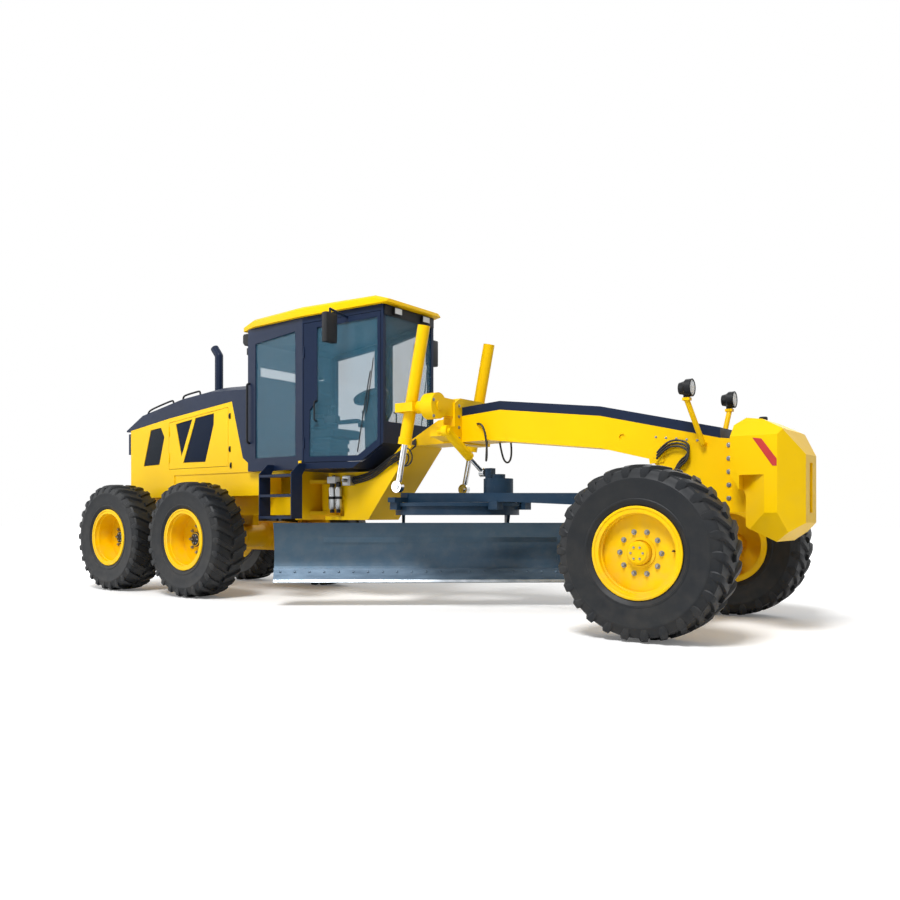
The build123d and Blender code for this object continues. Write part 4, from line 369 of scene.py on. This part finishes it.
def across(side, inner, outer):
    """Low and high y of a piece that lies between two distances from the middle, on one side."""
    return sorted((side * inner, side * outer))


def on_side(side, points):
    """Points given for the left side, placed on the right (-1) or the left (1)."""
    return [(x, side * y, z) for x, y, z in points]


def hose(name, points, radius, made, body):
    """Pipe or hose along a smooth line through control points in millimetres."""
    curve = bpy.data.curves.new(name, "CURVE")
    curve.dimensions = "3D"
    curve.bevel_depth = radius / 1000
    curve.bevel_resolution = 3
    curve.resolution_u = 6
    curve.use_fill_caps = True
    spline = curve.splines.new("NURBS")
    spline.points.add(len(points) - 1)
    for point, place in zip(spline.points, points):
        point.co = (*mm(*place), 1)
    spline.order_u = 3
    spline.use_endpoint_u = True
    curve.materials.append(made)
    piece = bpy.data.objects.new(name, curve)
    bpy.context.scene.collection.objects.link(piece)
    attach(piece, body)
    return piece


def bolts(name, places, axis, radius, height, body):
    """Hexagon heads, each on a washer, in one piece."""
    bm = bmesh.new()
    washer = [(radius * 1.35, 0), (radius * 1.35, height * 0.25)]
    head = [(radius, 0), (radius, height * 0.85), (radius * 0.8, height)]
    for place in places:
        centre = mm(*place)
        lathe_into(bm, washer, centre, axis, WASHER_SEGMENTS)
        lathe_into(bm, head, centre, axis, HEXAGON)
    return add_piece(name, mesh_from(bm, name), BOLT, body)


# Tyres: a turned casing with chevron lugs that bend down over the shoulder
TYRE_PROFILE = [
    (322, 176), (358, 184), (374, 199), (392, 206), (397, 211), (409, 212), (414, 209), (470, 218),
    (548, 220), (553, 222), (566, 221), (570, 218), (600, 212), (628, 200), (641, 182), (646, 120),
    (648, 60), (648, 0),
]
TYRE_PROFILE += [(radius, -place) for radius, place in TYRE_PROFILE[-2::-1]]
# across the tread: place, radius of the lug's top, lag behind the centre in degrees, half width in degrees
LUG_PATH = [
    (8, 675, 0.0, 2.3),
    (75, 674, 3.0, 2.35),
    (140, 671, 5.9, 2.4),
    (188, 664, 8.0, 2.5),
    (211, 651, 9.0, 2.5),
    (219.5, 615, 9.5, 2.3),
    (220.5, 578, 9.8, 1.8),
]
LUG_COUNT = 26
LUG_START = -92.3
SHOULDER = 200
TREAD_DEPTH = 30
SHOULDER_DEPTH = 24
SIDEWALL = 215
SIDEWALL_DEPTH = 8
CASING_SEGMENTS = 104
FOOT_FLARE = 1.3
TOP_FLARE = 0.86


def add_lug(bm, centre, start, half):
    """One lug from the middle of the tread out to one side; half is -1 or 1 along y."""
    rows = []
    for place, radius, lag, width in LUG_PATH:
        root = radius - (TREAD_DEPTH if place < SHOULDER else SHOULDER_DEPTH)
        under = 0 if place < SIDEWALL else SIDEWALL_DEPTH
        row = []
        # which edge, distance from the axle, share of the half width, inset
        corners = [(-1, root, FOOT_FLARE, under), (-1, radius, TOP_FLARE, 0)]
        corners += [(1, radius, TOP_FLARE, 0), (1, root, FOOT_FLARE, under)]
        for edge, level, flare, inset in corners:
            turn = radians(start + lag + edge * width * flare)
            corner = Vector((level * cos(turn), half * (place - inset), level * sin(turn)))
            row.append(bm.verts.new(centre + corner / 1000))
        rows.append(row)
    for lower, upper in zip(rows, rows[1:]):
        for edge in range(len(lower)):
            after = (edge + 1) % len(lower)
            bm.faces.new((lower[edge], lower[after], upper[after], upper[edge]))
    bm.faces.new(rows[0])
    bm.faces.new(rows[-1][::-1])


def tyre(node, body, centre, side):
    """Tyre with its lugs, in place of the plain solid; side is -1 on the right."""
    bm = bmesh.new()
    lathe_into(bm, TYRE_PROFILE, centre, (0, 1, 0), CASING_SEGMENTS, True)
    for index in range(LUG_COUNT):
        for half, phase in ((side, 0.0), (-side, 0.5)):
            add_lug(bm, centre, LUG_START + 360 * (index + phase) / LUG_COUNT, half)
    name = f"{node}_lugged"
    piece = add_piece(name, mesh_from(bm, name), MATERIALS["tyre"], body, angle=28)
    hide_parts(node)


# turned forms of the rim: radius, distance out from the wheel's middle
RIM_LIP = [(352, 190), (357, 196), (352, 199), (340, 199), (334, 194), (340, 190)]
RIM_BAND = [(304, 150), (296, 146), (296, 120), (304, 116)]
# radius, distance along their own axis
VALVE = [(7, 0), (7, 30), (5, 32), (5, 44)]
WASHER = [(21, 0), (21, 5)]
NUT = [(15, 4), (15, 22), (11, 26)]
CAP_BOLT = [(9, 0), (9, 8)]
# where the hub's outer face is, out from the wheel's middle
FRONT_FACE = 104
REAR_FACE = -52
NUT_COUNT = 10
NUT_CIRCLE = 165
CAP_BOLT_COUNT = 6
CAP_BOLT_CIRCLE = 48
CAP_BOLT_OUT = 72
for axle, axle_x in AXLE_X.items():
    for side_name, side in SIDES:
        centre = mm(axle_x, side * TRACK_HALF, AXLE_Z)
        wheel_body = f"wheel_{axle}_{side_name}"
        out = (0, side, 0)
        tyre(f"tyre_{axle}_{side_name}", wheel_body, centre, side)
        face = FRONT_FACE if axle == "front" else REAR_FACE
        bm = bmesh.new()
        for step in range(NUT_COUNT):
            turn = 2 * pi * step / NUT_COUNT
            place = centre + Vector((NUT_CIRCLE * cos(turn), side * face, NUT_CIRCLE * sin(turn))) / 1000
            lathe_into(bm, WASHER, place, out, 14)
            lathe_into(bm, NUT, place, out, HEXAGON)
        for step in range(CAP_BOLT_COUNT):
            turn = 2 * pi * step / CAP_BOLT_COUNT
            cap_x, cap_z = CAP_BOLT_CIRCLE * cos(turn), CAP_BOLT_CIRCLE * sin(turn)
            place = centre + Vector((cap_x, side * (face + CAP_BOLT_OUT), cap_z)) / 1000
            lathe_into(bm, CAP_BOLT, place, out, HEXAGON)
        add_piece(f"wheel_nuts_{axle}_{side_name}", mesh_from(bm, "nuts"), BOLT, wheel_body)
        lathe(f"rim_lip_{axle}_{side_name}", RIM_LIP, centre, out, RIM_PAINT, wheel_body, 72, True)
        lathe(f"rim_band_{axle}_{side_name}", RIM_BAND, centre, out, RIM_PAINT, wheel_body, 72, True)
        if axle != "front":
            dark_hub = [(0, face + 2), (88, face + 2), (88, face + 60), (70, face + 72), (0, face + 74)]
            lathe(f"drive_hub_{axle}_{side_name}", dark_hub, centre, out, BLACK, wheel_body, 40)
        flange = [(118, face), (118, face + 12), (98, face + 14), (98, face)]
        lathe(f"hub_flange_{axle}_{side_name}", flange, centre, out, RIM_PAINT, wheel_body, 48, True)
        stem = centre + Vector((0.262, side * (face / 1000), 0.02))
        lathe(f"valve_{axle}_{side_name}", VALVE, stem, out, RUBBER, wheel_body, 10)

# Perforated panels of the engine cover, latches, lamps and handrails
PANEL_FLOOR_Y = 635
PANEL_THICKNESS = 9
PANEL_SHRINK = 0.985
RAIL_Y = 560
# name, low and high z, lens
REAR_LENSES = [("stop", 1800, 1900, RED_LENS), ("turn", 1908, 1975, AMBER), ("reverse", 1983, 2040, LENS)]
REAR_MESH = [(-3850, 1610), (-3500, 1620), (-3390, 1976), (-3464, 2105), (-3690, 2085)]
DOOR_MESHES = [
    [(-3150, 2130), (-2810, 2170), (-3031, 1704)],
    [(-2745, 2180), (-2385, 2215), (-2390, 2074), (-2553, 1620), (-2995, 1625)],
]
LENS_X = (-4200, -4188)
REAR_BOLTS_Z = (1290, 1350)
LATCHES = [(-2083, 2157), (-2083, 1758), (-2064, 1560)]
RAILS = [
    [(-3880, 2306), (-3872, 2350), (-3780, 2382), (-3560, 2424), (-3350, 2460), (-3318, 2452), (-3312, 2408)],
    [(-3120, 2444), (-3112, 2488), (-3060, 2506), (-2880, 2524), (-2790, 2532), (-2768, 2522), (-2762, 2484)],
]


def plate_xz(name, outline, y, thickness, made, body, bevel=0.002, shrink=1.0):
    """Upright plate along the machine; thickness goes from y towards its sign."""
    mid_x = sum(x for x, _ in outline) / len(outline)
    mid_z = sum(z for _, z in outline) / len(outline)
    points = [mm(mid_x + (x - mid_x) * shrink, y, mid_z + (z - mid_z) * shrink) for x, z in outline]
    return slab(name, points, Vector((0, thickness / 1000, 0)), made, body, bevel)


for side_name, side in SIDES:
    floor_y = side * PANEL_FLOOR_Y
    door_body = f"hood_door_{side_name}"
    depth = side * PANEL_THICKNESS
    plate_xz(f"rear_mesh_{side_name}", REAR_MESH, floor_y, depth, MESH_DARK, "rear_unit", shrink=PANEL_SHRINK)
    for index, outline in enumerate(DOOR_MESHES):
        name = f"door_mesh_{index}_{side_name}"
        plate_xz(name, outline, floor_y, depth, PANEL_NAVY, door_body, shrink=PANEL_SHRINK)
    bm = bmesh.new()
    for x, z in LATCHES:
        low_y, high_y = across(side, 650, 657)
        block_into(bm, (x - 13, low_y, z - 34), (x + 13, high_y, z + 34))
        low_y, high_y = across(side, 656, 668)
        block_into(bm, (x - 7, low_y, z - 24), (x + 7, high_y, z + 18))
    add_piece(f"cover_latches_{side_name}", mesh_from(bm, "latches", 0.002), BLACK, "rear_unit")
    for index, points in enumerate(RAILS):
        path = [(x, side * RAIL_Y, z) for x, z in points]
        hose(f"cover_rail_{index}_{side_name}", path, 12, BLACK, "rear_unit")
    # lamp lenses in the rear housings
    for name, low_z, high_z, made in REAR_LENSES:
        low_y, high_y = across(side, 562, 642)
        low, high = (LENS_X[0], low_y, low_z), (LENS_X[1], high_y, high_z)
        block(f"{name}_lens_{side_name}", low, high, made, "rear_unit", 0.004)
    bolt_places = [(-4141, side * 500, z) for z in REAR_BOLTS_Z]
    bolts(f"rear_bolts_{side_name}", bolt_places, (-1, 0, 0), 14, 12, "rear_unit")

# Cab: roof and its header, cooling unit, visor with its lamps, mirrors, wipers, handles and lifting eyes
# x, half width, underside, top
ROOF_STATIONS = [
    (-1800, 680, 3128, 3206),
    (-1560, 755, 3140, 3236),
    (-790, 755, 3150, 3262),
    (80, 526, 3204, 3300),
    (235, 485, 3213, 3252),
]
ROOF_EDGE_IN = 45
ROOF_EDGE_DOWN = 30
HEADER = [(-1688, 3000), (-1500, 3060), (-790, 3135), (-790, 3151), (-1560, 3141), (-1688, 3134)]
HEADER_Y = 655
HEADER_THICKNESS = 54
COOLING_UNIT = [(-1695, 3128), (-1895, 3128), (-1908, 3108), (-1908, 3022), (-1880, 2990), (-1695, 2990)]
LOUVRE_COUNT = 6
LOUVRE_SPACING = 13
# lines of the door's and the cab's fittings on the left side
WIPER_ARM = [(-128, 536, 1640), (-60, 519, 2050), (0, 500, 2406), (18, 494, 2500)]
WIPER_BLADE = [(-36, 500, 2060), (6, 489, 2330), (46, 477, 2640)]
DOOR_HANDLE = [
    (-600, 667, 1990), (-600, 712, 1992), (-600, 716, 2020),
    (-600, 716, 2180), (-600, 712, 2208), (-600, 667, 2210),
]
GRAB_RAIL = [
    (-1660, 704, 1800), (-1660, 748, 1806), (-1660, 752, 1850),
    (-1660, 752, 2450), (-1660, 748, 2494), (-1660, 704, 2500),
]
LIFTING_EYE = [(34, -8), (34, 8), (17, 8), (17, -8)]
LIFTING_PLACES = ((-1560, 3228), (-620, 3256))
bm = bmesh.new()
rings = []
for x, half, under, top in ROOF_STATIONS:
    left = [(half - ROOF_EDGE_IN, top), (half, top - ROOF_EDGE_DOWN), (half, under)]
    section = [(-y, z) for y, z in reversed(left)] + left
    rings.append([bm.verts.new(mm(x, y, z)) for y, z in section])
for lower, upper in zip(rings, rings[1:]):
    for index in range(len(lower)):
        after = (index + 1) % len(lower)
        bm.faces.new((lower[index], lower[after], upper[after], upper[index]))
bm.faces.new(rings[0])
bm.faces.new(rings[-1][::-1])
roof = add_piece("roof_shell", mesh_from(bm, "roof_shell", 0.006), YELLOW_PAINT, "rear_unit")
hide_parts("cab_roof")
for side_name, side in SIDES:
    header_y, thickness = side * HEADER_Y, side * HEADER_THICKNESS
    plate_xz(f"cab_header_{side_name}", HEADER, header_y, thickness, NAVY, "rear_unit", 0.002)
block("cab_header_rear", (-1689, -656, 2990), (-1640, 656, 3136), NAVY, "rear_unit", 0.002)
plate_xz("cooling_unit", COOLING_UNIT, -600, 1200, PLASTIC, "rear_unit", 0.010)
bm = bmesh.new()
for step in range(LOUVRE_COUNT):
    z = 3026 + LOUVRE_SPACING * step
    block_into(bm, (-1916, -480, z), (-1906, 480, z + 6))
add_piece("cooling_unit_louvres", mesh_from(bm, "louvres", 0.001), PLASTIC, "rear_unit")
block("work_lamp_rear", (-1748, -680, 2850), (-1686, -590, 2932), PLASTIC, "rear_unit", 0.010)
block("work_lamp_lens_rear", (-1756, -672, 2858), (-1747, -598, 2924), LENS, "rear_unit", 0.004)
block("visor", (160, -436, 3092), (176, 436, 3200), PLASTIC, "rear_unit", 0.006)
for side_name, side in SIDES:
    low_y, high_y = across(side, 185, 315)
    block(f"visor_lamp_{side_name}", (174, low_y, 3112), (206, high_y, 3188), BLACK, "rear_unit", 0.010)
    low_y, high_y = across(side, 194, 306)
    block(f"visor_lens_{side_name}", (204, low_y, 3120), (213, high_y, 3180), LENS, "rear_unit", 0.004)
    cab_door = f"cab_door_{side_name}"
    low_y, high_y = across(side, 816, 984)
    block(f"mirror_shell_{side_name}", (-232, low_y, 2762), (-158, high_y, 3078), PLASTIC, cab_door, 0.022)
    low_y, high_y = across(side, 828, 972)
    low, high = (-236, low_y, 2778), (-230, high_y, 3062)
    block(f"mirror_glass_{side_name}", low, high, MATERIALS["chrome"], cab_door, 0.002)
    hose(f"wiper_arm_{side_name}", on_side(side, WIPER_ARM), 6, BLACK, cab_door)
    hose(f"wiper_blade_{side_name}", on_side(side, WIPER_BLADE), 5, RUBBER, cab_door)
    hose(f"door_handle_{side_name}", on_side(side, DOOR_HANDLE), 9, PLASTIC, cab_door)
    hose(f"grab_rail_{side_name}", on_side(side, GRAB_RAIL), 13, BLACK, "rear_unit")
    for index, (x, z) in enumerate(LIFTING_PLACES):
        name, place = f"lifting_eye_{index}_{side_name}", mm(x, side * 560, z + 4)
        lathe(name, LIFTING_EYE, place, (0, 1, 0), YELLOW_PAINT, "rear_unit", 24, True)
hose("front_wiper_arm", [(172, -40, 1990), (176, -30, 2060), (168, 60, 2500)], 7, BLACK, "rear_unit")
hose("front_wiper_blade", [(158, 40, 2180), (158, 66, 2520), (158, 92, 2860)], 5, RUBBER, "rear_unit")
block("sill_marker", (-842, -722, 1524), (-800, -709, 1562), YELLOW_PAINT, "rear_unit", 0.004)

# Inside the cab: a padded seat on its bellows, with armrests, levers and a headrest
PAD_CUTS = 36
CHANNEL_WIDTH = 0.045
PULL_IN = 0.03
BACK_TILT = 81.9
LEVER_COUNT = 3
LEVER_SPACING = 55
LEVER_Y = 295
KNOB = [(6, 0), (15, 8), (17, 20), (13, 32), (4, 36)]
FOLD_COUNT = 7
FOLD_HEIGHT = 46
FOLD_INSET = 14


def pad(name, middle, half, tilt, rounding, crown, channels):
    """Crowned cushion: its sides pull in between the corners, and sewn channels cross its top face."""
    bm = bmesh.new()
    bmesh.ops.create_cube(bm, size=2.0)
    bmesh.ops.subdivide_edges(bm, edges=bm.edges[:], cuts=PAD_CUTS, use_grid_fill=True)
    turn = Matrix.Rotation(radians(tilt), 3, "Y")
    for vert in bm.verts:
        u, v, w = vert.co
        inner = Vector([max(-h + rounding, min(h - rounding, c * h)) for c, h in zip((u, v, w), half)])
        outward = Vector([c * h for c, h in zip((u, v, w), half)]) - inner
        place = inner + (outward.normalized() * rounding if outward.length > 0.001 else outward)
        place.x *= 1 - PULL_IN * (1 - v * v)
        place.y *= 1 - PULL_IN * (1 - u * u)
        if w > 0:
            rise = crown * (1 - u * u) * (1 - v * v)
            for channel in channels:
                rise -= crown * 0.9 * exp(-((u - channel) / CHANNEL_WIDTH) ** 2) * (1 - v ** 8)
            place.z += rise * w
        vert.co = mm(*middle) + turn @ place / 1000
    piece = add_piece(name, mesh_from(bm, name), MATERIALS["seat"], "rear_unit", 80)
    return piece


for side_name, side in SIDES:
    pad(f"armrest_{side_name}", (-1005, side * 296, 2094), (175, 34, 24), 0, 18, 4, ())
    low_y, high_y = across(side, 250, 340)
    block(f"lever_box_{side_name}", (-820, low_y, 2010), (-640, high_y, 2090), PLASTIC, "rear_unit", 0.016)
    for index in range(LEVER_COUNT):
        x, y = -790 + LEVER_SPACING * index, side * LEVER_Y
        lever = [(x, y, 2080), (x + 4, y, 2130), (x + 12, y, 2185)]
        hose(f"lever_{index}_{side_name}", lever, 6, BLACK, "rear_unit")
        place = mm(x + 12, y, 2178)
        lathe(f"knob_{index}_{side_name}", KNOB, place, (0.1, 0, 1), PLASTIC, "rear_unit", 16)
cushion = pad("seat_cushion", (-1010, 0, 1909), (250, 248, 54), 0, 34, 12, (-0.38, 0.38))
backrest = pad("seat_backrest", (-1240, 0, 2288), (312, 238, 44), BACK_TILT, 30, 9, (-0.45, 0.0, 0.45))
pad("headrest", (-1296, 0, 2680), (78, 128, 34), BACK_TILT, 26, 6, ())
bm = bmesh.new()
for step in range(FOLD_COUNT):
    inset = FOLD_INSET * (step % 2)
    z = 1529 + FOLD_HEIGHT * step
    block_into(bm, (-1180 + inset, inset - 170, z), (-880 - inset, 170 - inset, z + FOLD_HEIGHT))
pedestal = add_piece("seat_bellows", mesh_from(bm, "seat_bellows", 0.005), PLASTIC, "rear_unit")
for piece in (cushion, backrest, pedestal):
    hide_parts("seat")

# Head of the front frame and its weight: plain reflectors, mounting bolts, hoses and the lamps' lenses
REFLECTOR = [(3902, 1572), (3970, 1562), (4083, 1400), (4083, 1345), (4052, 1345)]
HOSE_BRACKET = [(2971, 1531), (3114, 1576), (3114, 1420), (2989, 1407)]
WEIGHT_BOLTS_Z = (1540, 1430, 1320, 1210, 1100)
COVER_BOLT_COUNT = 5
HEAD_HOSE = [(3060, 1500), (3136, 1591), (3258, 1606), (3345, 1560), (3330, 1470), (3250, 1420)]
HEAD_HOSE_LIFTS = (0, 26, 52)
SADDLE_HOSE = [
    (1190, 204, 1880), (1230, 232, 1880), (1290, 240, 1840), (1322, 238, 1680),
    (1322, 232, 1540), (1290, 200, 1490), (1262, 150, 1560), (1250, 120, 1725),
]
SADDLE_BOLTS = [
    (1000, 255, 1740), (1000, 255, 1850), (1000, 255, 1960),
    (1000, 255, 2070), (1000, 690, 1930), (1000, 690, 2090),
]
LAMP_BOWL = [(0, 30), (30, 32), (63, 37), (63, 38.5), (0, 38)]
LAMP_LENS = [(64, 39), (64, 44), (50, 49), (25, 52), (4, 53)]
LAMP_RING = [(66, 38), (72, 40), (72, 48), (66, 50)]
FORWARD = (1, 0, 0)
for side_name, side in SIDES:
    plate_xz(f"reflector_{side_name}", REFLECTOR, side * 400, side * 3, RED, "front_unit", 0.001)
    weight_bolts = [(3660, side * 200, z) for z in WEIGHT_BOLTS_Z]
    bolts(f"flange_bolts_{side_name}", weight_bolts, (0, side, 0), 15, 13, "front_unit")
    cover_bolts = [(3040 + 90 * step, side * 200, 1640 - 12 * step) for step in range(COVER_BOLT_COUNT)]
    bolts(f"cover_bolts_{side_name}", cover_bolts, (0, side, 0), 8, 6, "front_unit")
    name = f"hose_bracket_{side_name}"
    plate_xz(name, HOSE_BRACKET, side * 200, side * 12, YELLOW_PAINT, "front_unit", 0.003)
    for index, lift in enumerate(HEAD_HOSE_LIFTS):
        y = side * (226 + 8 * index)
        path = [(x, y, z - lift) for x, z in HEAD_HOSE] + [(3210, side * 206, 1340 - lift)]
        hose(f"head_hose_{index}_{side_name}", path, 9, RUBBER, "front_unit")
    hose(f"saddle_hose_{side_name}", on_side(side, SADDLE_HOSE), 10, RUBBER, "front_unit")
    bolts(f"saddle_bolts_{side_name}", on_side(side, SADDLE_BOLTS), FORWARD, 13, 12, "front_unit")
filler = [(0, -4), (34, -4), (34, 16), (28, 24), (0, 26)]
lathe("filler_cap", filler, mm(3902, -100, 1738), UP, BLACK, "front_unit", 28)
for name, place in (("right", mm(3383, -400, 2012)), ("left", mm(3495, 345, 1982))):
    lathe(f"lamp_bowl_{name}", LAMP_BOWL, place, FORWARD, SILVER, "front_unit", 36)
    lathe(f"lamp_lens_{name}", LAMP_LENS, place, FORWARD, LENS, "front_unit", 36)
    lathe(f"lamp_ring_{name}", LAMP_RING, place, FORWARD, PLASTIC, "front_unit", 36, True)

# Under the cab: accumulators, valve block, reservoir and the held hoses along the neck
ACCUMULATOR_X = (-700, -604)
SHELL = [(10, 0), (34, 8), (40, 30), (40, 235), (34, 256), (18, 264)]
SHELL_CAP = [(24, 258), (30, 264), (30, 300), (20, 312)]
SHELL_FOOT = [(26, -34), (26, 6), (14, 10)]
SHELL_CLAMP = [(41, 120), (44, 120), (44, 150), (41, 150)]
NECK_HOSE_COUNT = 5
for index, x in enumerate(ACCUMULATOR_X):
    foot = mm(x, -322, 1020)
    lathe(f"accumulator_{index}", SHELL, foot, UP, SILVER, "front_unit", 28)
    lathe(f"accumulator_cap_{index}", SHELL_CAP, foot, UP, RUBBER, "front_unit", 20)
    lathe(f"accumulator_foot_{index}", SHELL_FOOT, foot, UP, BLACK, "front_unit", 6)
    lathe(f"accumulator_clamp_{index}", SHELL_CLAMP, foot, UP, BLACK, "front_unit", 28, True)
block("accumulator_bracket", (-745, -290, 1130), (-560, -268, 1180), YELLOW_PAINT, "front_unit", 0.004)
block("valve_block", (-520, -352, 1290), (-400, -268, 1400), SILVER, "front_unit", 0.006)
lathe("valve_spool", [(22, 0), (22, 50), (14, 62)], mm(-460, -350, 1346), (0, -1, 0), BOLT, "front_unit", 16)
block("reservoir", (-742, -366, 1318), (-618, -272, 1396), WHITE, "front_unit", 0.014)
lathe("reservoir_cap", [(18, 0), (18, 14), (13, 18)], mm(-680, -320, 1396), UP, RUBBER, "front_unit", 16)
for index in range(NECK_HOSE_COUNT):
    y = -286 - 15 * (index % 3)
    rise = 17 * index
    path = [(-405, y, 1310 + rise), (-250, y, 1330 + rise), (-60, y - 10, 1390 + rise)]
    path += [(120, y - 14, 1500 + rise), (260, y - 10, 1560 + rise)]
    path += [(330, -262, 1620 + rise), (420, -216, 1700 + rise)]
    hose(f"neck_hose_{index}", path, 9, RUBBER, "front_unit")
for index, (reach, top) in enumerate(((445, 1660), (400, 1600))):
    path = [(150, -300, 1530 - 30 * index), (280, -330, 1640), (reach - 40, -340, top + 20)]
    path += [(reach + 20, -330, 1590), (reach - 20, -310, 1500), (reach - 130, -290, 1470)]
    path.append((220, -282, 1520))
    hose(f"neck_loop_{index}", path, 8, RUBBER, "front_unit")
neck_clamps = [(-150, -270, 1400), (60, -270, 1520), (-330, -270, 1360)]
bolts("neck_clamps", neck_clamps, (0, -1, 0), 13, 12, "front_unit")

# Blade: a bright steel strip along the cutting edge as a painted highlight, and its plough bolts, in the
# blade's own direction
BLADE_X, BLADE_Y = 772, -120
BLADE_ANGLE = 40
BLADE_END = 1828
PLOUGH_COUNT = 24
PLOUGH_END = 1760
PLOUGH_PLACES = [-PLOUGH_END + 2 * PLOUGH_END * step / (PLOUGH_COUNT - 1) for step in range(PLOUGH_COUNT)]
blade_cos = cos(radians(BLADE_ANGLE))
blade_sin = sin(radians(BLADE_ANGLE))


def on_blade(along, out, z):
    """Point given along the blade, out of it and up, in millimetres."""
    return mm(BLADE_X + along * blade_cos - out * blade_sin, BLADE_Y + along * blade_sin + out * blade_cos, z)


EDGE_SLOPE = 0.38
EDGE_THICK = 20.0
PLOUGH_HEIGHT = 365
PLOUGH_NUT_HEIGHT = 372
PLOUGH_HEAD = [(13, -2), (13, 3), (9, 5)]
PLOUGH_NUT = [(13, 0), (13, 14), (10, 17)]


def edge_face(z):
    """Where the cutting edge's rear face is at a height."""
    return 50 + EDGE_SLOPE * (z - 320)


# a strip of lighter steel laid along the cutting edge on the blade's front face, a painted highlight
strip_low = edge_face(251) - EDGE_THICK
strip_high = edge_face(282) - EDGE_THICK
strip_outline = [(strip_low - 3, 258), (strip_high - 3, 284), (strip_high + 2, 284), (strip_low + 2, 258)]
outline = [on_blade(-BLADE_END, out, z) for out, z in strip_outline]
reach = on_blade(BLADE_END, 0, 300) - on_blade(-BLADE_END, 0, 300)
slab("edge_highlight_strip", outline, reach, EDGE_HIGHLIGHT, "moldboard", 0.001)
bm = bmesh.new()
face_axis = Vector((blade_sin, -blade_cos, EDGE_SLOPE)).normalized()
for along in PLOUGH_PLACES:
    centre = on_blade(along, edge_face(PLOUGH_HEIGHT) - EDGE_THICK, PLOUGH_HEIGHT)
    lathe_into(bm, PLOUGH_HEAD, centre, face_axis, 14)
add_piece("plough_bolts", mesh_from(bm, "plough_bolts"), MATERIALS["edge_steel"], "moldboard")
bm = bmesh.new()
for along in PLOUGH_PLACES:
    centre = on_blade(along, edge_face(PLOUGH_NUT_HEIGHT) + 22, PLOUGH_NUT_HEIGHT)
    lathe_into(bm, PLOUGH_NUT, centre, -face_axis, HEXAGON)
add_piece("plough_nuts", mesh_from(bm, "plough_nuts"), BOLT, "moldboard")

# Ladder treads' grip bars
TREADS_Z = (940, 1180, 1400)
GRIP_COUNT = 12
GRIP_SPACING = 42
for side_name, side in SIDES:
    bm = bmesh.new()
    for z in TREADS_Z:
        for step in range(GRIP_COUNT):
            x = -1240 + GRIP_SPACING * step
            low_y, high_y = across(side, 800, 915)
            block_into(bm, (x, low_y, z + 7), (x + 8, high_y, z + 12))
    add_piece(f"tread_grips_{side_name}", mesh_from(bm, "grips"), BLACK, "rear_unit")

# Floor and light: distances in metres, then strengths
FLOOR_HALF = 60
SHADOW_REACH = (3.5, 9.5)
FLOOR_GLOW = (0.10, 1.0)
WORLD_LEVEL = (0.30, 1.0)
floor_mesh = bpy.data.meshes.new("floor")
floor_corners = [(FLOOR_HALF * x, FLOOR_HALF * y, 0) for x, y in ((-1, -1), (1, -1), (1, 1), (-1, 1))]
floor_mesh.from_pydata(floor_corners, [], [(0, 1, 2, 3)])
floor = bpy.data.objects.new("floor", floor_mesh)
bpy.context.scene.collection.objects.link(floor)
floor_material = bpy.data.materials.new("floor")
floor_material.use_nodes = True
floor_tree = floor_material.node_tree
floor_shader = floor_tree.nodes["Principled BSDF"]
floor_shader.inputs["Base Color"].default_value = (0.93, 0.93, 0.93, 1)
floor_shader.inputs["Roughness"].default_value = 0.9
floor_shader.inputs["Specular IOR Level"].default_value = 0.0
# the camera sees the lit floor brightened to the background's white, with the shadow kept near the machine
floor_place = floor_tree.nodes.new("ShaderNodeTexCoord").outputs["Object"]
distance = add_node(floor_tree, "ShaderNodeVectorMath", i0=floor_place)
distance.operation = "LENGTH"
far = ramp(floor_tree, distance.outputs["Value"], *SHADOW_REACH)
glow_level = floor_tree.nodes.new("ShaderNodeMapRange")
glow_level.inputs["To Min"].default_value, glow_level.inputs["To Max"].default_value = FLOOR_GLOW
floor_tree.links.new(far, glow_level.inputs["Value"])
floor_path = floor_tree.nodes.new("ShaderNodeLightPath")
to_camera = floor_path.outputs["Is Camera Ray"]
glow_seen = add_node(floor_tree, "ShaderNodeMath", i0=glow_level.outputs["Result"], i1=to_camera)
glow_seen.operation = "MULTIPLY"
floor_shader.inputs["Emission Color"].default_value = (1, 1, 1, 1)
floor_tree.links.new(glow_seen.outputs[0], floor_shader.inputs["Emission Strength"])
floor_mesh.materials.append(floor_material)

world = bpy.data.worlds.new("world")
bpy.context.scene.world = world
world.use_nodes = True
world_tree = world.node_tree
background = world_tree.nodes["Background"]
light_path = world_tree.nodes.new("ShaderNodeLightPath")
rays = light_path.outputs
seen = add_node(world_tree, "ShaderNodeMath", i0=rays["Is Camera Ray"], i1=rays["Is Glossy Ray"])
seen.operation = "MAXIMUM"
seen_all = add_node(world_tree, "ShaderNodeMath", i0=seen.outputs[0], i1=rays["Is Transmission Ray"])
seen_all.operation = "MAXIMUM"
level = world_tree.nodes.new("ShaderNodeMapRange")
level.inputs["To Min"].default_value, level.inputs["To Max"].default_value = WORLD_LEVEL
world_tree.links.new(seen_all.outputs[0], level.inputs["Value"])
world_tree.links.new(level.outputs["Result"], background.inputs["Strength"])
background.inputs["Color"].default_value = (1, 1, 1, 1)

# name, place, aim, size, power
LIGHTS = [
    ("key", (4, -10.5, 14), (0, 0, 1.0), 5, 2650),
    ("fill", (-12, -10, 6), (-1, 0, 1.2), 10, 700),
    ("rim_light", (0, 12, 10), (0, 0, 1.5), 9, 650),
]
for name, place, aim, size, power in LIGHTS:
    light = bpy.data.lights.new(name, "AREA")
    light.size = size
    light.energy = power
    lamp = bpy.data.objects.new(name, light)
    lamp.location = place
    lamp.rotation_euler = (Vector(aim) - Vector(place)).to_track_quat("-Z", "Y").to_euler()
    bpy.context.scene.collection.objects.link(lamp)
